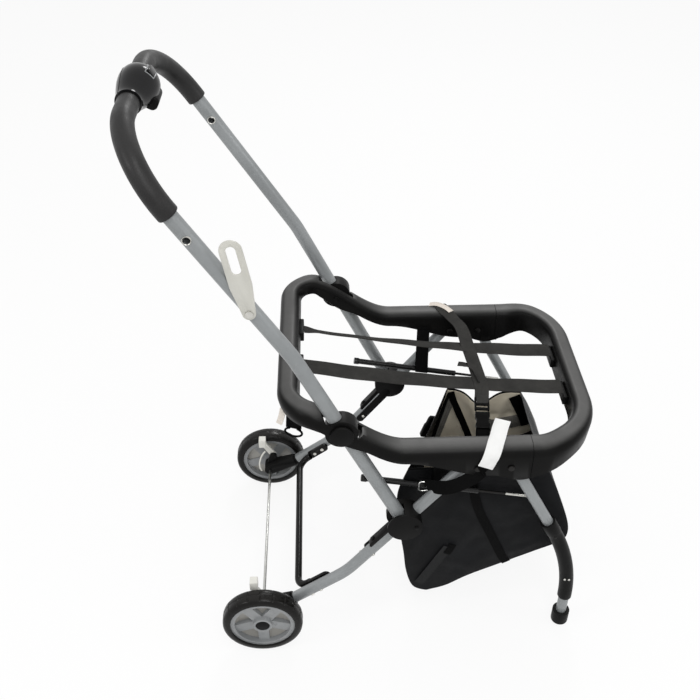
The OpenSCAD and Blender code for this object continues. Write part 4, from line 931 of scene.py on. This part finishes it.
# White blank label over the right rail, which turns about a line inside it
blankLabel = {"x": 409, "slant": 1.6, "y": -196.5, "z": 481, "radius": 22.4, "width": 27, "thick": 1.2}
labelLine = [(429, -144, 503), (421, -164, 503.6), (414, -184, 503.4)]
for k in range(9):
    a, radius = math.pi * k / 16, blankLabel["radius"]
    labelLine.append((blankLabel["x"] - blankLabel["slant"] * k, blankLabel["y"] - radius * math.sin(a),
                      blankLabel["z"] + radius * math.cos(a)))
labelPath = route(labelLine + [(393.5, -219.4, 473), (390.6, -219.8, 466)], 70)


def offRail(p):
    outward, upward = -p.y + blankLabel["y"] / 1000, p.z - blankLabel["z"] / 1000
    return Vector((0, -max(outward, 0), max(upward, 0) + 0.0001)).normalized()


labelAcross = [run.cross(offRail(p)) for p, run in zip(labelPath, runs(labelPath))]
webbing("blankLabel", labelPath, labelAcross, blankLabel["width"], blankLabel["thick"], "label")

# Tail that runs on from the label to the hook on the rod, and stands on edge there
tailEnd = {"steps": 60, "turnIn": 10, "turnUp": (42, 16)}
tailPath = route([(391.5, -217.6, 470), (387, -217.9, 460), (377, -217.5, 446), (362, -214.5, 430),
                  (345.5, -210.5, 415), (331, -205.5, 406), (318, -198.5, 400), (307, -187, 391.5),
                  (301, -178.5, 385)], tailEnd["steps"])
tailAcross = []
for k, a in enumerate(crosswise(tailPath, strapFacing)):
    flat = labelAcross[-1].normalized().lerp(-a, smooth(k / tailEnd["turnIn"]))
    tailAcross.append(flat.lerp(Vector((0, 0, -1)), eased(k, tailEnd["turnUp"])))
# The tail is given the black webbing as painted shade: it is the same grey strap as the safety strap,
# darkened here where it runs in shade
tail = webbing("strapTail", tailPath, tailAcross, 24, finish="blackWebbing")
tuple(at(390, -219, 474))
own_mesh(tail)
print("straps built")

# Rods under the rails: a coated sleeve with an end cap on each, and a bright tip
rod = {"rear": (189, 394), "front": (487, 338), "y": 165.3, "sleeve": 5.5, "sleeveEnd": 394, "steps": 30,
       "cap": [(0, -1.0), (6.0, -1.0), (6.6, 0.2), (6.6, 8), (6.2, 9), (0, 9)], "capBack": 0.5,
       "collar": [(0, 0), (4.4, 0), (5.6, -1), (5.6, -6), (0, -6)], "collarOn": 3,
       "tip": [(0, -42), (2.75, -42), (2.75, -1.0), (2.2, 0.4), (0, 0.9)]}
rodX, rodEnd = rod["rear"][0], rod["sleeveEnd"]
rodRun = Vector((rod["front"][0] - rodX, 0, rod["front"][1] - rod["rear"][1])).normalized()


def onRod(x, side):
    share = (x - rodX) / (rod["front"][0] - rodX)
    return at(x, side * rod["y"], rod["rear"][1] + (rod["front"][1] - rod["rear"][1]) * share)


for side, name in bothSides:
    path = [onRod(rodX + (rodEnd - rodX) * k / rod["steps"], side) for k in range(rod["steps"] + 1)]
    cap = turned(rod["cap"], onRod(rodX - rod["capBack"], side), rodRun)
    collar = turned(rod["collar"], onRod(rodEnd + rod["collarOn"], side), rodRun)
    made("rodSleeve_" + name, joined("sleeve", wired(path, rod["sleeve"], 24), cap, collar), "rod",
         "seat_ring", "rod_coating", ["rod_sleeves"] if side > 0 else ())
    made("rodTip_" + name, turned(rod["tip"], onRod(rod["front"][0], side), rodRun, 20), "steel", "seat_ring",
         "chrome")

# Hook of the safety strap: a loop for the tail, and an open ring on the rod
hook = {"middle": (297.2, -173.6, 377.8), "loop": (17, 22, 4.5, 6), "loopWire": 1.3, "x": 306, "radius": 6.6,
        "from": -60, "sweep": 250, "steps": 24, "ringWire": 1.0}
hookLoop = [at(*hook["middle"]) + Vector((u, 0, v)) / 1000 for u, v in plate(*hook["loop"])]
ringUp = Vector((-rodRun.z, 0, rodRun.x))
rodHook = []
for k in range(hook["steps"] + 1):
    a = math.radians(hook["from"] + hook["sweep"] * k / hook["steps"])
    out = Vector((0, math.cos(a), 0)) + ringUp * math.sin(a)
    rodHook.append(onRod(hook["x"], -1) + out * (hook["radius"] / 1000))
hookMesh = joined("hook", wired(hookLoop + hookLoop[:2], hook["loopWire"], 12),
                  wired(rodHook, hook["ringWire"], 10))
made("strapHook", hookMesh, "chrome", "seat_ring", "steel", ["strap_hook"])

# Webbing loops that hang the rods from the rails
hanger = {"x": 326, "width": 25, "thick": 1.3,
          "line": [(170.4, 473), (170.4, 450), (170.9, 420), (171.7, 385), (171.7, 369), (169.6, 363.4),
                   (165.3, 361.5), (161, 363.4), (159.1, 369), (160.4, 384), (165.6, 410), (168.4, 432),
                   (168.7, 466)]}
for side, name in bothSides:
    path = route([(hanger["x"], side * y, z) for y, z in hanger["line"]], 70)
    webbing("rodHanger_" + name, path, Vector((0.98, 0, -0.18)), hanger["width"], hanger["thick"],
            "blackWebbing", ["rod_hangers"] if side > 0 else ())

# Tether under the rear right corner: a tab, a cord loop and a blank pale tab
tether = {"width": 27, "thick": 3.4, "cord": 1.9, "middle": (73.5, -162, 503), "half": (14.2, 3.5, 12.5),
          "skew": 4.4, "from": 115, "sweep": 310, "steps": 40}
tabPath = route([(77, -156, 563), (76, -158, 545), (75, -160, 528), (74, -161.5, 512)], 24)
webbing("rearTether", tabPath, Vector((0.95, -0.3, 0)), tether["width"], tether["thick"], "blackWebbing",
        ["rear_tether"])
(x, y, z), (halfX, halfY, halfZ) = tether["middle"], tether["half"]
loop = []
for k in range(tether["steps"] + 1):
    a = math.radians(tether["from"] + tether["sweep"] * k / tether["steps"])
    loop.append(at(x + halfX * math.cos(a), y - halfY * math.sin(a) - tether["skew"] * math.cos(a),
                   z + halfZ * math.sin(a)))
made("tetherLoop", wired(loop, tether["cord"], 12), "blackWebbing", "seat_ring", "webbing")
palePath = route([(58, -158, 552), (56, -161, 543), (53, -164, 533), (50, -166, 526)], 20)
webbing("tetherTag", palePath, Vector((0.95, -0.3, 0.1)), 11, 1.2, "tag")
print("rods and tether built")

# Basket: outlines of the near and far panels, down the rear and down the front; a crease is its height, how
# fast it changes along x, z and y, and a start
basket = {
    "nearRear": [(270, 405), (254, 350), (254, 300), (262, 234), (270, 182), (277, 127), (292, 83),
                 (319, 70)],
    "nearFront": [(514, 405), (539, 348), (561, 291), (574, 251), (577, 224), (571, 207), (555, 197)],
    "farRear": [(381, 321), (375, 288), (365, 238), (356, 187), (346, 137), (337, 100), (331, 80)],
    "farFront": [(536, 308), (552, 281), (567, 248), (577, 224), (577, 211), (571, 201), (555, 191)],
    "notch": 38, "nearY": -157.6, "farY": 157.6, "rows": 48, "columns": 60, "thick": 1.4, "sag": 8,
    "creases": ((4.6, 0.018, 0.011, 0.01, 0), (2.3, 0.05, 0.03, 0.02, 7)), "gussetSteps": 40, "edgeSteps": 40,
    "gussetSag": 5, "gussetCrease": 3, "gussetDroop": 14, "droopReach": 0.12,
}
nearEdges, farEdges = [(basket[which + "Rear"], basket[which + "Front"]) for which in ("near", "far")]


def edgeCurve(points, count):
    return [(p.x, p.y) for p in curved([Vector((x, z, 0)) for x, z in points], count)]


# The far panel's top edge dips between two lobes, and the panels' bottom edges sag towards the rear
def dip(s):
    return math.exp(-((s - 0.46) / 0.19) ** 2)


def bottomSag(s):
    return basket["sag"] * math.exp(-((s - 0.15) / 0.13) ** 2)


# A panel's cloth: rows go from its top edge to its bottom edge, with the folds standing off its plane
def panelGrid(edges, y, bulge, notch=0.0, folds=(), inset=0.0):
    rows, columns = basket["rows"], basket["columns"]
    left, right = [edgeCurve(edge, rows) for edge in edges]
    outward = -1 if y < 0 else 1
    points, flats = [], []
    for i in range(rows):
        t = i / (rows - 1)
        for j in range(columns):
            s = j / (columns - 1)
            x = left[i][0] + (right[i][0] - left[i][0]) * s
            z = left[i][1] + (right[i][1] - left[i][1]) * s
            z -= notch * (1 - t) ** 2 * dip(s) + bottomSag(s) * t * t
            edge = math.sin(math.pi * s) ** 0.6 * math.sin(math.pi * min(t * 0.98 + 0.01, 1)) ** 0.6
            crease = sum(high * noise.noise(Vector((x * alongX, z * alongZ, y * alongY + start)))
                         for high, alongX, alongZ, alongY, start in basket["creases"])
            stand = bulge * edge + edge * crease
            for (ax, az), (bx, bz), wide, high in folds:
                run = Vector((bx - ax, bz - az))
                offset = Vector((x - ax, z - az))
                u = min(max(offset.dot(run) / run.length_squared, 0), 1)
                stand += high * edge * math.exp(-((offset - run * u).length / wide) ** 2)
            points.append(at(x, y + outward * (stand - inset), z))
            flats.append((x / 1000, z / 1000))
    return points, flats


def clothMesh(points, flats, rows, columns, thick=basket["thick"]):
    mesh = meshed("cloth", points, woundFaces(rows, columns), flats, sharp=1.2)
    return settled(mesh, ("SOLIDIFY", {"thickness": thick / 1000, "offset": 0.0}),
                   ("SUBSURF", {"levels": 1, "render_levels": 1}))


# A strip sewn on a panel along a line, standing off the cloth's nearest points
def sewn(name, grid, line, width, finish, lift, count=40, thick=1.2):
    path, level = [], []
    for p in curved([at(x, 0, z) for x, z in line], count):
        near = sorted(grid, key=lambda q: (q.x - p.x) ** 2 + (q.z - p.z) ** 2)[:4]
        path.append(Vector((p.x, sum(q.y for q in near) / 4 + lift / 1000, p.z)))
    for i, p in enumerate(path):
        beside = path[max(i - 2, 0):i + 3]
        level.append(Vector((p.x, sum(q.y for q in beside) / len(beside), p.z)))
    mesh = strapped(level, crosswise(level, Vector((0, -1, 0))), width, thick)
    return made(name, mesh, finish, "seat_ring", "cloth")


# Folds: the two ends of each, its half width and its height
panelSize = (basket["rows"], basket["columns"])
nearFolds = [((353, 203), (302, 94), 8, 3.4), ((300, 240), (274, 150), 9, 3.4),
             ((420, 330), (500, 220), 16, 2.6), ((470, 180), (566, 222), 10, 2.8),
             ((330, 340), (292, 290), 10, 3.2), ((455, 250), (545, 285), 13, -2.6),
             ((350, 160), (400, 135), 12, 2.4), ((290, 384), (480, 348), 16, -6.5),
             ((400, 220), (380, 130), 14, -2.2)]
nearGrid, nearFlats = panelGrid(nearEdges, basket["nearY"], 2.5, folds=nearFolds)
nearPanel = made("basketNearPanel", clothMesh(nearGrid, nearFlats, *panelSize), "cloth", "seat_ring", "cloth",
                 ["basket"])
farGrid, farFlats = panelGrid(farEdges, basket["farY"], 3, notch=basket["notch"])
farPanel = made("basketFarPanel", clothMesh(farGrid, farFlats, *panelSize), "cloth", "seat_ring", "cloth")
liningFolds = [((430, 290), (470, 190), 10, -4), ((505, 290), (480, 200), 9, -4),
               ((400, 270), (385, 190), 8, 3), ((520, 250), (560, 230), 9, 4),
               ((450, 240), (490, 250), 8, 3)]
liningGrid, liningFlats = panelGrid(farEdges, basket["farY"], 2, notch=basket["notch"], folds=liningFolds,
                                    inset=4.6)
lining = made("basketLining", clothMesh(liningGrid, liningFlats, *panelSize, 0.9), "lining", "seat_ring",
              "cloth")


# The strip of cloth that joins the two panels down the rear, under the bottom and up the front
def gussetGrid():
    steps = basket["gussetSteps"]

    def outline(rear, front):
        down, up = edgeCurve(rear, steps), edgeCurve(front, steps)
        (x0, z0), (x1, z1) = down[-1], up[-1]
        under = [(x0 + (x1 - x0) * s, z0 + (z1 - z0) * s - bottomSag(s))
                 for s in (k / steps for k in range(1, steps))]
        return down + under + up[::-1]

    near, far = outline(*nearEdges), outline(*farEdges)
    points, flats, length = [], [], 0.0
    for i, (a, b) in enumerate(zip(near, far)):
        if i:
            length += math.dist(a, near[i - 1])
        end = math.sin(math.pi * i / (len(near) - 1)) ** 0.4
        tail = min(i, len(near) - 1 - i) / len(near)
        for j in range(steps):
            s = j / (steps - 1)
            middle = math.sin(math.pi * s)
            x, z = a[0] + (b[0] - a[0]) * s, a[1] + (b[1] - a[1]) * s
            y = basket["nearY"] + (basket["farY"] - basket["nearY"]) * s
            crease = basket["gussetCrease"] * middle * noise.noise(Vector((x * 0.02, y * 0.015, z * 0.02)))
            sag = basket["gussetSag"] * middle * end + crease
            droop = basket["gussetDroop"] * middle * smooth(1 - tail / basket["droopReach"])
            points.append(at(x, y, z - sag * 0.5 - droop))
            flats.append((length / 1000, y / 1000))
    return points, flats, len(near), steps


gusset = made("basketGusset", clothMesh(*gussetGrid()), "cloth", "seat_ring", "cloth")


# Bound edges along the bag's open top
def bound(name, edges, y, notch, radius):
    (x0, z0), (x1, z1) = edges[0][0], edges[1][0]
    steps = basket["edgeSteps"]
    path = [at(x0 + (x1 - x0) * s, y, z0 + (z1 - z0) * s - notch * dip(s))
            for s in (k / steps for k in range(steps + 1))]
    return made(name, wired(path, radius, 10), "blackWebbing", "seat_ring", "cloth")


nearBinding = bound("basketNearBinding", nearEdges, basket["nearY"], 0, 2.1)
farBinding = bound("basketFarBinding", farEdges, basket["farY"] - 2, basket["notch"], 2.4)

# Sewn strips: line, width, finish and how far they stand off the cloth
nearStrips = {
    "basketStrip": ([(388, 366), (391, 345), (398, 315), (407, 288), (426, 245), (456, 174), (468, 152)], 17,
                    "blackWebbing", -2.2),
    "basketPleat": ([(353, 203), (338, 170), (321, 133), (308, 105), (302, 94)], 19, "clothEdge", -1.6),
    "pleatLoop": ([(361, 209), (357, 198), (351, 184)], 14, "blackWebbing", -2.9, 14),
}
liningStrips = {
    "liningStrap": ([(389, 317), (396, 292), (410, 257), (424, 222), (435, 192), (446, 160)], 14,
                    "blackWebbing", -2.6),
    "liningMesh": ([(393, 300), (383, 265), (374, 228), (365, 190), (357, 150)], 17, "mesh", -1.8),
    "liningMeshFront": ([(455, 226), (490, 222), (530, 228), (552, 236)], 34, "mesh", -2.0),
    "liningFrontEdge": ([(523, 301), (535, 276), (549, 246), (559, 220)], 24, "blackWebbing", -2.8),
    "liningRearEdge": ([(385, 313), (375, 270), (363, 212), (352, 152)], 7, "blackWebbing", -3.2),
}
onNear = [sewn(name, nearGrid, *row) for name, row in nearStrips.items()]
onLining = [sewn(name, liningGrid, *row) for name, row in liningStrips.items()]

# Clip on a strap inside the bag
clip = {"middle": (346, 146, 226), "along": (0.31, 0, 0.95), "across": (0.94, 0.15, -0.31), "thick": 9,
        "edge": 2.2}
clipOutline = [(-29, -8), (-24, -10.5), (4, -10.5), (8, -8.5), (22, -8.5), (29, -6)]
clipOutline += [(u, -v) for u, v in reversed(clipOutline)]
clipMesh = slabbed(clipOutline, at(*clip["middle"]), Vector(clip["along"]), Vector(clip["across"]),
                   clip["thick"], clip["edge"])
made("liningClip", clipMesh, "buckle", "seat_ring", "black_plastic")

print("basket built")

# Floor, light and camera: how much of the floor's own shading is seen, and the light from all round
stage = {"half": 9, "lit": 0.13, "ambient": 0.64}
floorMesh = bpy.data.meshes.new("floor")
half = stage["half"]
floorMesh.from_pydata([(-half, -half, 0), (half, -half, 0), (half, half, 0), (-half, half, 0)], [],
                      [(0, 1, 2, 3)])
floor = bpy.data.objects.new("floor", floorMesh)
bpy.context.scene.collection.objects.link(floor)
floorSurface = Surface("paleFloor", (0.90, 0.90, 0.89), 0.85, Specular_IOR_Level=0.1)
floorSurface.colour(floorSurface.place().noise(1.2, 3).between((0.885, 0.885, 0.88), (0.905, 0.905, 0.90)))


# A wire that is 1 for camera, glossy and transmission rays
def seenBy(tree):
    rays = Wire(tree).node("ShaderNodeLightPath")
    seen = Wire(tree, rays.outputs["Is Camera Ray"])
    for kind in ("Is Glossy Ray", "Is Transmission Ray"):
        seen = seen.maths("MAXIMUM", Wire(tree, rays.outputs[kind]))
    return seen


tree = floorSurface.tree
seen = seenBy(tree)
shading = Wire(tree, floorSurface.shader.outputs[0])
glow = seen.wire("ShaderNodeEmission", {"Color": (1, 1, 1, 1), "Strength": 1.0})
faint = seen.wire("ShaderNodeMixShader", {0: 1 - stage["lit"], 1: shading, 2: glow})
whole = seen.wire("ShaderNodeMixShader", {0: seen, 1: shading, 2: faint})
floorOutput = next(n for n in tree.nodes if n.type == "OUTPUT_MATERIAL")
tree.links.new(whole.socket, floorOutput.inputs["Surface"])
floorMesh.materials.append(floorSurface.material)

world = bpy.data.worlds.new("studio")
bpy.context.scene.world = world
world.use_nodes = True
sky = world.node_tree
background = next(n for n in sky.nodes if n.type == "BACKGROUND")
background.inputs["Color"].default_value = (1, 1, 1, 1)
sky.links.new((seenBy(sky) * (1 - stage["ambient"]) + stage["ambient"]).socket, background.inputs["Strength"])

# Lights: place, aim, size and power
lights = {
    "overhead": ((0.1, -0.8, 3.0), (0.2, 0.0, 0.4), 0.7, 6),
    "back": ((0.5, 2.6, 2.6), (0.2, 0.0, 0.5), 0.8, 21),
    "leftSide": ((-2.5, -1.3, 2.3), (0.0, 0.0, 0.6), 0.8, 14),
    "near": ((0.3, -2.2, 3.0), (0.2, 0.0, 0.4), 1.4, 34),
    "frontSide": ((2.6, -0.8, 1.9), (0.2, 0.0, 0.5), 1.0, 9),
}
for name, (place, aim, size, power) in lights.items():
    data = bpy.data.lights.new(name, "AREA")
    data.shape, data.size, data.energy = "DISK", size, power
    lamp = bpy.data.objects.new(name, data)
    lamp.location = place
    lamp.rotation_euler = (Vector(aim) - Vector(place)).to_track_quat("-Z", "Y").to_euler()
    bpy.context.scene.collection.objects.link(lamp)

view = {"lens": 46.96, "sensor": 36, "turn": (52.39, 0, -1.98), "place": (129, -1292, 1545)}
cameraData = bpy.data.cameras.new("photoCamera")
cameraData.sensor_width, cameraData.lens = view["sensor"], view["lens"]
cameraData.clip_end = 50
camera = bpy.data.objects.new("photoCamera", cameraData)
camera.location = at(*view["place"])
camera.rotation_euler = Euler([math.radians(a) for a in view["turn"]])
bpy.context.scene.collection.objects.link(camera)
bpy.context.scene.camera = camera
bpy.context.scene.view_settings.view_transform = "Standard"
print("stage set")
